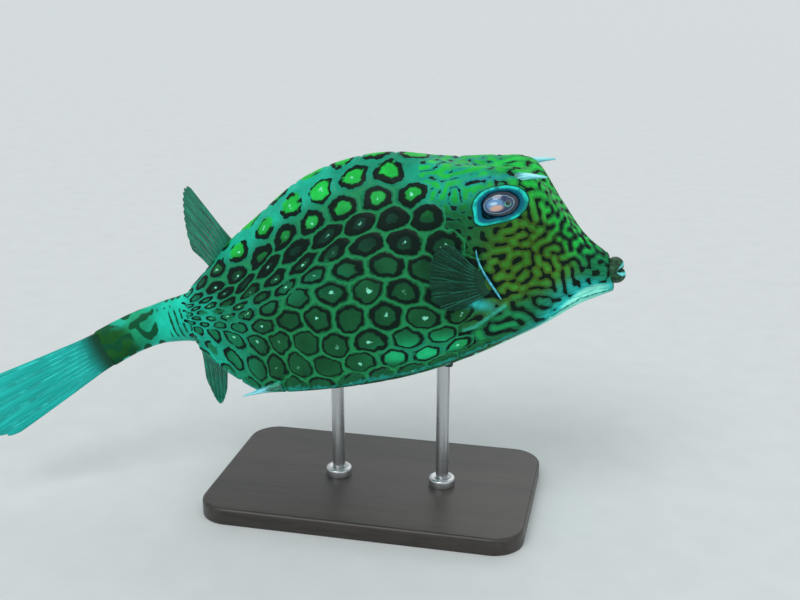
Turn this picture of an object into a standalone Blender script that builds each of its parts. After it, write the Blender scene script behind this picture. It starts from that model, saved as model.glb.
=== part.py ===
"""A life-size honeycomb cowfish (a boxfish) on a museum stand.

The fish is drawn in its own frame, in millimetres: x runs back from the front of the lips, y to the
fish's left, z up from the plane of its lower keels. Every point then goes through place(), which
pitches the fish nose up and sets it over the stand, with the head towards +X and the stand's
underside on the plane z = 0.
"""

import functools
import math

import bmesh
import bpy
import numpy as np
from mathutils import Matrix, Vector

MM = 0.001
GAP = 0.3

# How the fish hangs over its stand.
NOSE_UP = math.radians(13.7)
PIVOT_X = 110.0
PIVOT_Z = 45.0
PIVOT_HEIGHT = 110.0

# Cross-sections of the shell, snout to tail. Each one is a flat slanted cut, given by the x of its
# keel and of its back, then the belly's z, the keel's y and z, the y half way up the flank, the y and
# z of the brow or shoulder, and the z of the back. The keel's curve swells a little below the keel.
SECTIONS = (
    # keel x, back x, belly z, keel y, keel z, flank y, brow y, brow z, back z
    (7.5, 7.5, 20.5, 5.5, 22.5, 8.0, 5.0, 34.5, 36.8),
    (20.0, 14.5, 18.0, 13.5, 22.8, 12.5, 7.5, 43.0, 45.5),
    (36.0, 22.5, 12.5, 22.0, 18.5, 17.5, 11.0, 60.0, 61.0),
    (52.0, 32.0, 8.0, 27.5, 15.5, 22.5, 15.0, 79.0, 76.5),
    (66.0, 47.0, 4.5, 31.5, 13.0, 26.0, 16.0, 84.0, 80.5),
    (81.0, 65.0, 2.0, 35.0, 10.8, 28.5, 14.0, 87.0, 88.5),
    (98.0, 86.0, 0.0, 37.5, 9.5, 30.0, 10.5, 91.0, 96.5),
    (118.0, 110.0, -0.5, 38.8, 9.0, 30.0, 9.5, 92.5, 98.0),
    (138.0, 134.0, 0.0, 36.5, 8.5, 28.0, 9.0, 87.5, 93.0),
    (155.0, 156.0, 2.0, 32.0, 8.0, 24.5, 8.0, 76.5, 81.8),
    (168.0, 173.0, 5.5, 27.0, 8.5, 20.0, 7.0, 67.5, 72.6),
    (184.0, 187.0, 15.0, 20.0, 17.5, 15.0, 6.0, 58.0, 62.5),
    (200.0, 200.0, 24.5, 9.0, 27.5, 9.8, 5.0, 50.0, 53.5),
)
KEEL_X, BACK_X, BELLY_Z, KEEL_Y, KEEL_Z, FLANK_Y, BROW_Y, BROW_Z, BACK_Z = range(9)
BELLY_CURVE = 2.2
KEEL_SWELL, KEEL_SPREAD = 0.6, 2.0
CURVE_STEPS = 28
STATIONS = 240
NORMAL_REACH, NORMAL_ROWS = 1.0, 0.12

# The honeycomb: rows of plates round the shell, and columns along it.
ROWS = 28
KEEL_ROW = 4
BACK_ROW = 14
COLUMNS = 15
HEAD_COLUMNS = 5
PLATE_SIZES = {0: 10.5, 5: 15.0, 12: 15.0, 15: 11.5}
# Where rows of plates really lie at some columns, and how far each row is shifted along the trunk.
ROW_AT = (0, 5, 7, 9, 11, 13, 15)
ROW_LIES = {
    4: (4, 4, 4, 4, 4, 4, 4),
    5: (5, 4.5, 4.7, 4.85, 5.2, 5.4, 5.4),
    6: (6, 5.1, 5.4, 5.8, 6.8, 7.5, 7.3),
    8: (8, 6.6, 7.7, 8.15, 8.6, 8.9, 8.7),
    10: (10, 8.9, 9.75, 9.6, 9.6, 9.9, 10),
    12: (12, 11.6, 11.6, 11.3, 11.1, 11.1, 11.3),
    13: (13, 12.7, 12.75, 12.6, 12.5, 12.5, 12.7),
    14: (14, 14, 14, 14, 14, 14, 14),
}
ROW_SHIFT = {0: 0.0, 4: 0.3, 6: 0.7, 8: 0.8, 9: 0.65, 10: 0.55, 11: 0.1, 12: -0.1, 13: 0.3, 14: 0.2}
UNEVEN = 0.07
PLATE_RISE = 0.7
KEEL_RISE = 1.1
PLATE_TOP = 0.8
SEAM_SHIFT = GAP * 1.2

# Eyes, with the raised rim of skin round them.
EYE_AT = (43.4, 70.5)
EYE_RADII = (9.3, 6.9, 6.0)
EYE_SUNK = 3.4
RIM_WIDTH, RIM_TALL, RIM_OUT, RIM_REACH = 1.5, 2.0, 0.8, 1.0
NOSTRIL_AT, NOSTRIL_RADII, NOSTRIL_OUT = (31.0, 57.0), (1.3, 1.0, 2.2), 0.9

# Horns over the eyes, and the spines that end the keels.
HORN = {"root": (40.0, 14.6, 79.0), "tip": (22.3, 19.6, 77.4), "radius": 2.7, "sag": 0.8, "flat": 1.0}
KEEL_SPINE = {"root": (154.0, 30.5, 10), "tip": (177.5, 26.0, 5.6), "radius": 4.2, "sag": 0.0, "flat": 0.6}
POINT_RADIUS = 0.35
SPIKE_STATIONS = (0.0, 0.3, 0.55, 0.78, 0.93, 1.0)

# Mouth.
LIP_RING = (4.0, 2.2)
LIP_X, LIP_SWEEP = 4.0, 2.0
LIP_DEEP, LIP_THICK, LIP_AT_CORNER = 3.8, 3.4, 0.72
LIP_STEPS = 12
MOUTH_Z = 28.6

# Gill slit, from top to bottom, as x and z on the flank.
SLIT_TOP, SLIT_FOOT = (57.5, 56.5), (51.5, 35.0)
SLIT_WIDTH, SLIT_END_WIDTH, SLIT_DEPTH = 0.9, 0.5, 1.8

# Tail stalk: stations along its own bent line, half height and half width.
STALK = ((0.0, 12.9, 8.6), (8.0, 11.2, 7.4), (22.0, 9.6, 5.6), (36.0, 9.4, 4.2), (49.0, 9.6, 2.9))
STALK_START = (200.0, 0.0, 39.6)
STALK_RISE = math.radians(1.0)
TAIL_DROP = math.radians(13.0)
TAIL_SWING = math.radians(34.0)
TAIL_BEND_FROM = 4.0
STALK_STEPS = 8

# Fins. Each has a first and a last ray: where they are rooted, which way they aim and how long they
# and the middle ray are. The web curls towards one side, and is thicker near its root.
FIN_HALF = 0.3
RAY_RIDGE, RIDGE_FADE = 0.28, 0.6
ROWS_CLOSER = 1.25
LIFT_SHARE = 0.09
DORSAL_FIN = {
    "root": ((172.0, 0.0, 69.5), (185.5, 0.0, 57.5)), "aim": ((0.40, 0.0, 0.92), (0.40, 0.0, 0.92)),
    "lengths": (38.0, 31.0, 18.0), "rays": 10, "rows": 6, "side": (0.0, 1.0, 0.0),
    "curl": -2.5, "twist": 1.2, "root_half": 1.6, "root_reach": 0.4, "lift": 0.0, "corner": 0.1,
}
ANAL_FIN = {
    "root": ((190.5, 0.0, 21.5), (203.5, 0.0, 30.0)), "aim": ((0.28, 0.0, -0.96), (0.04, 0.0, -1.0)),
    "lengths": (23.0, 31.0, 23.0), "rays": 10, "rows": 6, "side": (0.0, 1.0, 0.0),
    "curl": -2.0, "twist": 1.0, "root_half": 1.5, "root_reach": 0.4, "lift": 0.0, "corner": 0.1,
}
TAIL_FIN_ROOT = 8.6
TAIL_FIN_SPREAD = math.radians(7.0)
TAIL_FIN = {
    "lengths": (61.0, 66.0, 61.0), "rays": 10, "rows": 6,
    "curl": -3.0, "twist": 0.0, "root_half": 1.9, "root_reach": 0.16, "lift": 0.0, "corner": 0.1,
}
PECTORAL_TOP, PECTORAL_FOOT, PECTORAL_SUNK = (56.5, 44.0), (54.0, 35.5), 1.2
PECTORAL_LEAD, PECTORAL_TRAIL = (0.52, 0.84, 0.16), (0.95, -0.25, 0.20)
PECTORAL_FIN = {
    "lengths": (22.0, 25.0, 22.0), "rays": 12, "rows": 6,
    "curl": -1.0, "twist": 0.0, "root_half": 0.9, "root_reach": 0.3, "lift": 3.6, "corner": 0.25,
}

# Stand.
BASE_SIZE = (150.0, 92.0, 8.0)
BASE_CORNER = 14.0
BASE_BEVEL = 1.5
ROD_RADIUS = 3.0
ROD_X = (88.0, 140.0)
ROD_TOP = 20.0


def place(x, y, z):
    """A point of the fish's frame, in millimetres, as a world point in metres."""
    forward, height = PIVOT_X - x, z - PIVOT_Z
    c, s = math.cos(NOSE_UP), math.sin(NOSE_UP)
    return Vector((forward * c - height * s, y, forward * s + height * c + PIVOT_HEIGHT)) * MM


def knots():
    """Distance of each cross-section from the first, along the middle of the flank."""
    found = [0.0]
    for a, b in zip(SECTIONS, SECTIONS[1:]):
        dx = (b[KEEL_X] + b[BACK_X] - a[KEEL_X] - a[BACK_X]) / 2
        dz = (b[KEEL_Z] + b[BROW_Z] - a[KEEL_Z] - a[BROW_Z]) / 2
        found.append(found[-1] + math.hypot(dx, dz))
    return found


KNOTS = knots()
LENGTH = KNOTS[-1]


def section(s):
    """The cross-section's nine sizes at distance s, on smooth curves through the named ones."""
    last = len(KNOTS) - 1
    i = min(max(int(np.searchsorted(KNOTS, s, side="right")) - 1, 0), last - 1)
    rows = np.array(SECTIONS)

    def slope(k):
        if k == 0:
            return (rows[1] - rows[0]) / (KNOTS[1] - KNOTS[0])
        if k == last:
            return (rows[last] - rows[last - 1]) / (KNOTS[last] - KNOTS[last - 1])
        before = (rows[k] - rows[k - 1]) / (KNOTS[k] - KNOTS[k - 1])
        after = (rows[k + 1] - rows[k]) / (KNOTS[k + 1] - KNOTS[k])
        w = (KNOTS[k + 1] - KNOTS[k]) / (KNOTS[k + 1] - KNOTS[k - 1])
        return before * w + after * (1 - w)

    h = KNOTS[i + 1] - KNOTS[i]
    u = (s - KNOTS[i]) / h
    return (
        rows[i] * (2 * u**3 - 3 * u**2 + 1)
        + slope(i) * h * (u**3 - 2 * u**2 + u)
        + rows[i + 1] * (3 * u**2 - 2 * u**3)
        + slope(i + 1) * h * (u**3 - u**2)
    )


def flank_curve(sizes):
    """Points (y, z) from the keel up the flank, over the brow and to the back's middle."""
    keel = np.array([sizes[KEEL_Y], sizes[KEEL_Z]])
    flank = np.array([sizes[FLANK_Y], (sizes[KEEL_Z] + sizes[BROW_Z]) / 2])
    brow = np.array([sizes[BROW_Y], sizes[BROW_Z]])
    back = np.array([0.0, sizes[BACK_Z]])
    across = brow * (-1, 1)
    below = keel + (keel - flank) * KEEL_SWELL + (KEEL_SPREAD, 0.0)
    run = [below, keel, flank, brow, back, across]
    points = []
    for a, b, c, d in zip(run, run[1:], run[2:], run[3:]):
        lengths = [math.dist(p, q) ** 0.5 for p, q in ((a, b), (b, c), (c, d))]
        t0, t1 = 0.0, lengths[0]
        t2, t3 = t1 + lengths[1], t1 + lengths[1] + lengths[2]
        for n in range(CURVE_STEPS):
            t = t1 + (t2 - t1) * n / CURVE_STEPS
            ab = a * (t1 - t) / (t1 - t0) + b * (t - t0) / (t1 - t0)
            bc = b * (t2 - t) / (t2 - t1) + c * (t - t1) / (t2 - t1)
            cd = c * (t3 - t) / (t3 - t2) + d * (t - t2) / (t3 - t2)
            abc = ab * (t2 - t) / (t2 - t0) + bc * (t - t0) / (t2 - t0)
            bcd = bc * (t3 - t) / (t3 - t1) + cd * (t - t1) / (t3 - t1)
            points.append(abc * (t2 - t) / (t2 - t1) + bcd * (t - t1) / (t2 - t1))
    points.append(back)
    return np.array(points)


@functools.lru_cache(maxsize=None)
def station(n):
    """One of many evenly spaced sections: its sizes, its flank curve and the share of its length."""
    sizes = section(LENGTH * n / STATIONS)
    points = flank_curve(sizes)
    run = np.concatenate([[0.0], np.cumsum(np.linalg.norm(np.diff(points, axis=0), axis=1))])
    return sizes, points, run / run[-1]


def shell(s, row):
    """The shell's surface at distance s and plate row, from 0 under the belly to 14 on the back."""
    n = min(int(s / LENGTH * STATIONS), STATIONS - 1)
    share = s / LENGTH * STATIONS - n
    return station_point(n, row) * (1 - share) + station_point(n + 1, row) * share


def station_point(n, row):
    row = row % ROWS
    side = -1.0
    if row > BACK_ROW:
        row, side = ROWS - row, 1.0
    sizes, points, share = station(n)
    if row <= KEEL_ROW:
        u = row / KEEL_ROW
        y = sizes[KEEL_Y] * u
        z = sizes[BELLY_Z] + (sizes[KEEL_Z] - sizes[BELLY_Z]) * u**BELLY_CURVE
    else:
        u = (row - KEEL_ROW) / (BACK_ROW - KEEL_ROW)
        y = float(np.interp(u, share, points[:, 0]))
        z = float(np.interp(u, share, points[:, 1]))
    lean = (z - sizes[KEEL_Z]) / (sizes[BACK_Z] - sizes[KEEL_Z])
    x = sizes[KEEL_X] + (sizes[BACK_X] - sizes[KEEL_X]) * lean
    return np.array([x, y * side, z])


def outward(s, row):
    """The shell's unit normal, averaged over a short stretch so that it is defined on the keels."""
    a, b = max(s - NORMAL_REACH, 0.0), min(s + NORMAL_REACH, LENGTH)
    along = shell(b, row) - shell(a, row)
    around = shell(s, row + NORMAL_ROWS) - shell(s, row - NORMAL_ROWS)
    n = np.cross(along, around)
    return n / np.linalg.norm(n)


def rise(row):
    """How far a plate of this row stands up: the plates on the keels stand highest."""
    off = min(abs(row % ROWS - KEEL_ROW), abs(row % ROWS - (ROWS - KEEL_ROW)))
    return PLATE_RISE + (KEEL_RISE - PLATE_RISE) * max(0.0, 1.0 - off)


def column_distances():
    """Distance along the shell of each half column: plates are small on the snout and at the rear."""
    halves = np.arange(2 * COLUMNS + 1) / 2
    fine = np.linspace(0.0, COLUMNS, 400)
    size = np.interp(fine, list(PLATE_SIZES), list(PLATE_SIZES.values()))
    run = np.concatenate([[0.0], np.cumsum((size[1:] + size[:-1]) / 2 * np.diff(fine))])
    return np.interp(halves, fine, run * LENGTH / run[-1])


COLUMN_AT = column_distances()


def at_column(c):
    return float(np.interp(c, np.arange(2 * COLUMNS + 1) / 2, COLUMN_AT))


def wander(c, row):
    """Where a point of the plain plate pattern really lies, in columns and rows.

    The ends of the head and of the trunk, the keels and the back's ridge stay where they are.
    """
    row = row % ROWS
    height = min(row, ROWS - row)
    share = min(max((c - HEAD_COLUMNS) / (COLUMNS - HEAD_COLUMNS), 0.0), 1.0)
    trunk = math.sin(math.pi * share**1.3)
    shift = float(np.interp(height, list(ROW_SHIFT), list(ROW_SHIFT.values())))
    along = trunk * shift + math.sqrt(trunk) * UNEVEN * math.sin(1.9 * height + 1.1 * c)
    lies = [float(np.interp(c, ROW_AT, line)) for line in ROW_LIES.values()]
    lies = height if height < KEEL_ROW else float(np.interp(height, list(ROW_LIES), lies))
    if KEEL_ROW < height < BACK_ROW:
        lies += math.sqrt(trunk) * UNEVEN * math.sin(2.3 * c + 0.7 * height)
    return c + along, lies if row <= BACK_ROW else ROWS - lies


def material(name, colour, roughness, metallic=0.0):
    made = bpy.data.materials.new(name)
    made.use_nodes = True
    shader = made.node_tree.nodes["Principled BSDF"]
    shader.inputs["Base Color"].default_value = (*colour, 1.0)
    shader.inputs["Roughness"].default_value = roughness
    shader.inputs["Metallic"].default_value = metallic
    return made


def add(name, points, faces, finish):
    """One object from points in the fish's frame. Its faces are turned outward."""
    mesh = bpy.data.meshes.new(name)
    mesh.from_pydata([place(*p) for p in points], [], faces)
    work = bmesh.new()
    work.from_mesh(mesh)
    bmesh.ops.remove_doubles(work, verts=work.verts, dist=1e-6)
    bmesh.ops.triangulate(work, faces=[f for f in work.faces if len(f.verts) > 4])
    bmesh.ops.recalc_face_normals(work, faces=work.faces)
    work.to_mesh(mesh)
    work.free()
    mesh.materials.append(finish)
    made = bpy.data.objects.new(name, mesh)
    bpy.context.scene.collection.objects.link(made)
    return made


def plate_side(edge, row, way, at_end, creased):
    """Corners of one side of a plate. A plate cut by an end, or creased by a keel, has a middle one."""
    if at_end:
        return [(edge, row)]
    corners = [(edge, row - way / 3), (edge, row + way / 3)]
    if creased:
        corners.insert(1, (edge, row))
    return corners


def shell_block(name, first, last, finish):
    """The stretch of shell between two columns, closed by flat ends, with its plates raised."""
    points, faces, shared = [], [], {}
    front_shift = SEAM_SHIFT if first > 0 else 0.0

    def surface(c, row, lift=0.0):
        c, row = wander(c, row)
        distance = at_column(c) + (front_shift if c == first else 0.0)
        return shell(distance, row) + outward(distance, row) * lift

    def corner(c, row):
        key = (round(2 * c), round(3 * row) % (3 * ROWS))
        if key not in shared:
            shared[key] = len(points)
            points.append(surface(c, row))
        return shared[key]

    def raised(c, row, lift):
        points.append(surface(c, row, lift))
        return len(points) - 1

    for row in range(ROWS):
        centres = [first + 0.5 + n for n in range(last - first)]
        if row % 2:
            centres = [first + n for n in range(last - first + 1)]
        for c in centres:
            west, east = max(c - 0.5, first), min(c + 0.5, last)
            creased = row in (KEEL_ROW, ROWS - KEEL_ROW)
            ring = [(c, row - 2 / 3)]
            ring += plate_side(east, row, 1, c == last, creased)
            ring.append((c, row + 2 / 3))
            ring += plate_side(west, row, -1, c == first, creased)
            middle = (west + east) / 2
            low = [corner(*p) for p in ring]
            high = []
            for pc, pr in ring:
                tc = middle + (pc - middle) * PLATE_TOP
                tr = row + (pr - row) * PLATE_TOP
                high.append(raised(tc, tr, rise(tr)))
            top = raised(middle, row, rise(row))
            for n in range(len(ring)):
                m = (n + 1) % len(ring)
                faces += [(low[n], low[m], high[m]), (low[n], high[m], high[n])]
                faces.append((high[n], high[m], top))
    for end in (first, last):
        rim = sorted(r for c, r in shared if c == round(2 * end))
        loop = [shared[round(2 * end), r] for r in rim]
        points.append(np.mean([points[i] for i in loop], axis=0))
        hub = len(points) - 1
        faces += [(loop[n], loop[(n + 1) % len(loop)], hub) for n in range(len(loop))]
    return add(name, points, faces, finish)


def shell_envelope(name, clearance, along=56, around=2 * ROWS):
    """A closed smooth copy of the whole shell, grown past its plates, for cutting what meets it."""
    points, faces = [], []
    for i in range(along + 1):
        s = LENGTH * i / along
        for j in range(around):
            row = ROWS * j / around
            points.append(shell(s, row) + outward(s, row) * (rise(row) + clearance))
    for i in range(along):
        for j in range(around):
            a, b = i * around + j, i * around + (j + 1) % around
            faces.append((a, b, b + around, a + around))
    faces.append(tuple(range(around)))
    faces.append(tuple(range(along * around, (along + 1) * around)))
    made = add(name, points, faces, bpy.data.materials[0])
    made.hide_render = True
    made.display_type = "WIRE"
    return made


def boolean(target, other, operation):
    """Applies one exact Boolean, and keeps the largest closed surface that it leaves."""
    modifier = target.modifiers.new("cut", "BOOLEAN")
    modifier.operation = operation
    modifier.solver = "EXACT"
    modifier.object = other
    graph = bpy.context.evaluated_depsgraph_get()
    mesh = bpy.data.meshes.new_from_object(target.evaluated_get(graph))
    target.modifiers.clear()
    target.data = mesh
    keep_largest(target)


def keep_largest(target):
    work = bmesh.new()
    work.from_mesh(target.data)
    bmesh.ops.remove_doubles(work, verts=work.verts, dist=2e-6)
    bmesh.ops.dissolve_degenerate(work, edges=work.edges, dist=2e-6)
    bmesh.ops.triangulate(work, faces=work.faces)
    left, shells = set(work.verts), []
    while left:
        found, edge = set(), [left.pop()]
        while edge:
            v = edge.pop()
            found.add(v)
            near = {e.other_vert(v) for e in v.link_edges} & left
            left -= near
            edge += near
        shells.append(found)
    for found in sorted(shells, key=len)[:-1]:
        bmesh.ops.delete(work, geom=list(found), context="VERTS")
    work.to_mesh(target.data)
    work.free()


def remove(made):
    bpy.data.objects.remove(made)


def on_flank(x, z, side):
    """Where the flank has this x and z: its distance and row, found by halving."""
    low, high = 0.0, LENGTH
    for _ in range(40):
        s = (low + high) / 2
        row = row_at_height(s, z)
        if shell(s, row)[0] < x:
            low = s
        else:
            high = s
    row = row_at_height(s, z)
    return s, row if side < 0 else ROWS - row


def row_at_height(s, z):
    low, high = float(KEEL_ROW), float(BACK_ROW)
    for _ in range(30):
        row = (low + high) / 2
        if shell(s, row)[2] < z:
            low = row
        else:
            high = row
    return row


def frame_at(x, z, side):
    """A point of the flank with its outward, backward and upward directions."""
    s, row = on_flank(x, z, side)
    point, out = shell(s, row), outward(s, row)
    back = np.array([1.0, 0.0, 0.0])
    back -= out * out.dot(back)
    back /= np.linalg.norm(back)
    up = np.cross(back, out) * (-side)
    return point, out, back, up * math.copysign(1.0, up[2])


def ellipsoid(name, centre, axes, radii, finish, rings=8, sides=16):
    """An ellipsoid with its pole along the third axis."""
    points, faces = [centre + axes[2] * radii[2]], []
    for i in range(1, rings):
        polar = math.pi * i / rings
        for j in range(sides):
            turn = 2 * math.pi * j / sides
            points.append(
                centre
                + axes[0] * radii[0] * math.sin(polar) * math.cos(turn)
                + axes[1] * radii[1] * math.sin(polar) * math.sin(turn)
                + axes[2] * radii[2] * math.cos(polar)
            )
    points.append(centre - axes[2] * radii[2])
    for j in range(sides):
        k = (j + 1) % sides
        faces.append((0, 1 + j, 1 + k))
        for i in range(rings - 2):
            a = 1 + i * sides
            faces.append((a + j, a + sides + j, a + sides + k, a + k))
        tail = 1 + (rings - 2) * sides
        faces.append((tail + j, len(points) - 1, tail + k))
    return add(name, points, faces, finish)


def ring(name, centre, axes, radii, width, reach, finish, turns=24, sides=6):
    """A rounded oval ring lying across the first two axes."""
    points, faces = [], []
    for i in range(turns):
        turn = 2 * math.pi * i / turns
        spoke = axes[0] * math.cos(turn) * radii[0] + axes[1] * math.sin(turn) * radii[1]
        out = spoke / np.linalg.norm(spoke)
        for j in range(sides):
            a = 2 * math.pi * j / sides
            points.append(centre + spoke + out * width * math.cos(a) + axes[2] * reach * math.sin(a))
    for i in range(turns):
        for j in range(sides):
            a, b = i * sides, (i + 1) % turns * sides
            k = (j + 1) % sides
            faces.append((a + j, a + k, b + k, b + j))
    return add(name, points, faces, finish)


def tube(name, stations, finish, sides=10):
    """A closed tube through stations of (centre, first axis, second axis)."""
    points, faces = [], []
    for centre, a, b in stations:
        for j in range(sides):
            turn = 2 * math.pi * j / sides
            points.append(centre + a * math.cos(turn) + b * math.sin(turn))
    for i in range(len(stations) - 1):
        for j in range(sides):
            k = (j + 1) % sides
            faces.append((i * sides + j, i * sides + k, (i + 1) * sides + k, (i + 1) * sides + j))
    faces.append(tuple(range(sides)))
    faces.append(tuple(range((len(stations) - 1) * sides, len(stations) * sides)))
    return add(name, points, faces, finish)


def spike(name, sizes, side, finish):
    """A pointed, slightly bowed spike, with its root sunk in the shell."""
    root, tip = np.array(sizes["root"]) * (1, side, 1), np.array(sizes["tip"]) * (1, side, 1)
    axis = (tip - root) / np.linalg.norm(tip - root)
    across = np.cross(axis, (0.0, 0.0, 1.0))
    across /= np.linalg.norm(across)
    up = np.cross(across, axis)
    stations = []
    for u in SPIKE_STATIONS:
        r = POINT_RADIUS + (sizes["radius"] - POINT_RADIUS) * (1 - u) ** 0.8
        centre = root + (tip - root) * u + up * sizes["sag"] * math.sin(math.pi * u)
        stations.append((centre, across * r, up * max(r * sizes["flat"], POINT_RADIUS)))
    return tube(name, stations, finish)


def ray_fin(name, spec, finish):
    """A fin: a thin web between rays that stand up as ridges on both faces, thick at its root."""
    rays, rows = spec["rays"], spec["rows"]
    columns = 2 * rays
    grid = []
    for i in range(rows + 1):
        u = row_share(i, rows)
        grid.append([fin_point(spec, u, j / columns) for j in range(columns + 1)])
    grid = np.array(grid)
    along = np.gradient(grid, axis=0)
    across = np.gradient(grid, axis=1)
    normal = np.cross(along, across)
    normal /= np.linalg.norm(normal, axis=2, keepdims=True)
    points, faces = [], []
    for face in (1, -1):
        for i in range(rows + 1):
            u = row_share(i, rows)
            for j in range(columns + 1):
                ridge = RAY_RIDGE * (1 - RIDGE_FADE * u) if j % 2 else 0.0
                thicker = spec["root_half"] * max(0.0, 1 - u / spec["root_reach"]) ** 1.5
                half = FIN_HALF + ridge + thicker
                points.append(grid[i, j] + normal[i, j] * half * face)
    size = (rows + 1) * (columns + 1)

    def at(i, j, face):
        return face * size + i * (columns + 1) + j

    for i in range(rows):
        for j in range(columns):
            for face in (0, 1):
                a, b = at(i, j, face), at(i, j + 1, face)
                c, d = at(i + 1, j + 1, face), at(i + 1, j, face)
                faces += [(a, b, c), (a, c, d)] if j % 2 else [(a, b, d), (b, c, d)]
    edge = [(i, 0) for i in range(rows)] + [(rows, j) for j in range(columns)]
    edge += [(i, columns) for i in range(rows, 0, -1)] + [(0, j) for j in range(columns, 0, -1)]
    for n, here in enumerate(edge):
        there = edge[(n + 1) % len(edge)]
        faces.append((at(*here, 0), at(*there, 0), at(*there, 1), at(*here, 1)))
    return add(name, points, faces, finish)


def row_share(i, rows):
    """Rows of points lie closer together towards a fin's root."""
    return (i / rows) ** ROWS_CLOSER


def fin_point(spec, u, v):
    """The fin's mid surface: u runs from root to tip, v from the first ray to the last."""
    root = np.array(spec["root"][0]) * (1 - v) + np.array(spec["root"][1]) * v
    aim = np.array(spec["aim"][0]) * (1 - v) + np.array(spec["aim"][1]) * v
    aim /= np.linalg.norm(aim)
    first, middle, last = spec["lengths"]
    length = first * (1 - v) * (1 - 2 * v) + middle * 4 * v * (1 - v) + last * v * (2 * v - 1)
    length *= 1 - spec["corner"] * abs(2 * v - 1) ** 5
    bend = spec["curl"] * u * u * (1 + spec["twist"] * (v - 0.5))
    bend += spec["lift"] * (1 - math.exp(-u / LIFT_SHARE))
    return root + aim * length * u + np.array(spec["side"]) * bend


def tail_line(d):
    """Centre and heading of the tail stalk at distance d, bent down and to the fish's right."""
    steps = 40
    point = np.array(STALK_START, float)
    for n in range(steps):
        here = d * (n + 0.5) / steps
        heading = tail_heading(here)
        point = point + heading * d / steps
    return point, tail_heading(d)


def tail_heading(d):
    end = STALK[-1][0]
    share = min(max((d - TAIL_BEND_FROM) / (end - TAIL_BEND_FROM), 0.0), 1.0)
    share = share * share * (3 - 2 * share)
    lift = STALK_RISE * (1 - share) - TAIL_DROP * share
    swing = TAIL_SWING * share
    return np.array([math.cos(lift) * math.cos(swing), -math.cos(lift) * math.sin(swing), math.sin(lift)])


def tail_axes(heading):
    across = np.cross(heading, (0.0, 0.0, 1.0))
    across /= np.linalg.norm(across)
    return across, np.cross(across, heading)


def make_head(finish):
    head = shell_block("head", 0, HEAD_COLUMNS, finish)
    for side in (-1, 1):
        point, out, back, up = frame_at(*EYE_AT, side)
        axes = (back, up, out)
        rim_radii = (EYE_RADII[0] + RIM_REACH, EYE_RADII[1] + RIM_REACH)
        rim = ring("rim", point + out * RIM_OUT, axes, rim_radii, RIM_WIDTH, RIM_TALL, finish)
        boolean(head, rim, "UNION")
        remove(rim)
        socket_radii = tuple(r + GAP for r in EYE_RADII)
        socket = ellipsoid("socket", point - out * EYE_SUNK, axes, socket_radii, finish)
        boolean(head, socket, "DIFFERENCE")
        remove(socket)
        cut_gill_slit(head, side, finish)
        point, out, back, up = frame_at(*NOSTRIL_AT, side)
        nostril = ellipsoid(
            "nostril", point + out * NOSTRIL_OUT, (back, up, out), NOSTRIL_RADII, finish, rings=5, sides=8
        )
        boolean(head, nostril, "DIFFERENCE")
        remove(nostril)
    return head


def cut_gill_slit(head, side, finish):
    """A narrow groove in front of the pectoral fin."""
    stations = []
    for u in (0.0, 0.2, 0.5, 0.8, 1.0):
        x = SLIT_TOP[0] + (SLIT_FOOT[0] - SLIT_TOP[0]) * u
        z = SLIT_TOP[1] + (SLIT_FOOT[1] - SLIT_TOP[1]) * u
        point, out, back, up = frame_at(x, z, side)
        wide = (SLIT_END_WIDTH + SLIT_WIDTH * math.sin(math.pi * u) ** 0.6) / 2
        stations.append((point, back * wide, out * SLIT_DEPTH))
    slit = tube("slit", stations, finish, sides=6)
    boolean(head, slit, "DIFFERENCE")
    remove(slit)


def make_eyes(finish):
    for name, side in (("eye_right", -1), ("eye_left", 1)):
        point, out, back, up = frame_at(*EYE_AT, side)
        ellipsoid(name, point - out * EYE_SUNK, (back, up, out), EYE_RADII, finish)


def make_lip(name, way, finish):
    """Half of a fleshy oval ring round the mouth: way is 1 for the upper half, -1 for the lower."""
    stations = []
    for n in range(LIP_STEPS + 1):
        a = math.pi * n / LIP_STEPS
        spoke = np.array([0.0, math.cos(a), way * math.sin(a)])
        centre = np.array([LIP_X + LIP_SWEEP * math.cos(a) ** 2, 0.0, MOUTH_Z])
        centre += spoke * (0.0, LIP_RING[0], LIP_RING[1])
        full = LIP_AT_CORNER + (1 - LIP_AT_CORNER) * math.sin(a)
        stations.append((centre, np.array([1.0, 0.0, 0.0]) * LIP_DEEP * full, spoke * LIP_THICK * full))
    lip = tube(name, stations, finish, sides=12)
    cut_beyond(lip, (SECTIONS[0][KEEL_X] - GAP, 0.0, 0.0), (1.0, 0.0, 0.0))
    cut_beyond(lip, (0.0, 0.0, MOUTH_Z + way * GAP / 2), (0.0, 0.0, -way))
    return lip


def cut_beyond(made, point, normal):
    """Cuts off what lies beyond a plane, on the side its normal points to, and closes the cut."""
    work = bmesh.new()
    work.from_mesh(made.data)
    at = place(*point)
    cut = bmesh.ops.bisect_plane(
        work, geom=work.verts[:] + work.edges[:] + work.faces[:], plane_co=at,
        plane_no=place(*np.add(point, normal)) - at, clear_outer=True, dist=1e-7,
    )
    edges = [e for e in cut["geom_cut"] if isinstance(e, bmesh.types.BMEdge)]
    bmesh.ops.holes_fill(work, edges=edges)
    bmesh.ops.triangulate(work, faces=work.faces)
    bmesh.ops.recalc_face_normals(work, faces=work.faces)
    work.to_mesh(made.data)
    work.free()


def stalk_stations(start, grown=0.0):
    """The tail stalk's cross-sections along its bent line, each grown all round by the same amount."""
    stations = []
    for n in range(STALK_STEPS + 1):
        d = start + (STALK[-1][0] - start) * n / STALK_STEPS
        centre, heading = tail_line(d)
        across, up = tail_axes(heading)
        high = float(np.interp(d, [k[0] for k in STALK], [k[1] for k in STALK])) + grown
        wide = float(np.interp(d, [k[0] for k in STALK], [k[2] for k in STALK])) + grown
        stations.append((centre, across * wide, up * high))
    return stations


def make_tail_stalk(finish):
    return tube("tail_stalk", stalk_stations(GAP), finish, sides=16)


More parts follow.
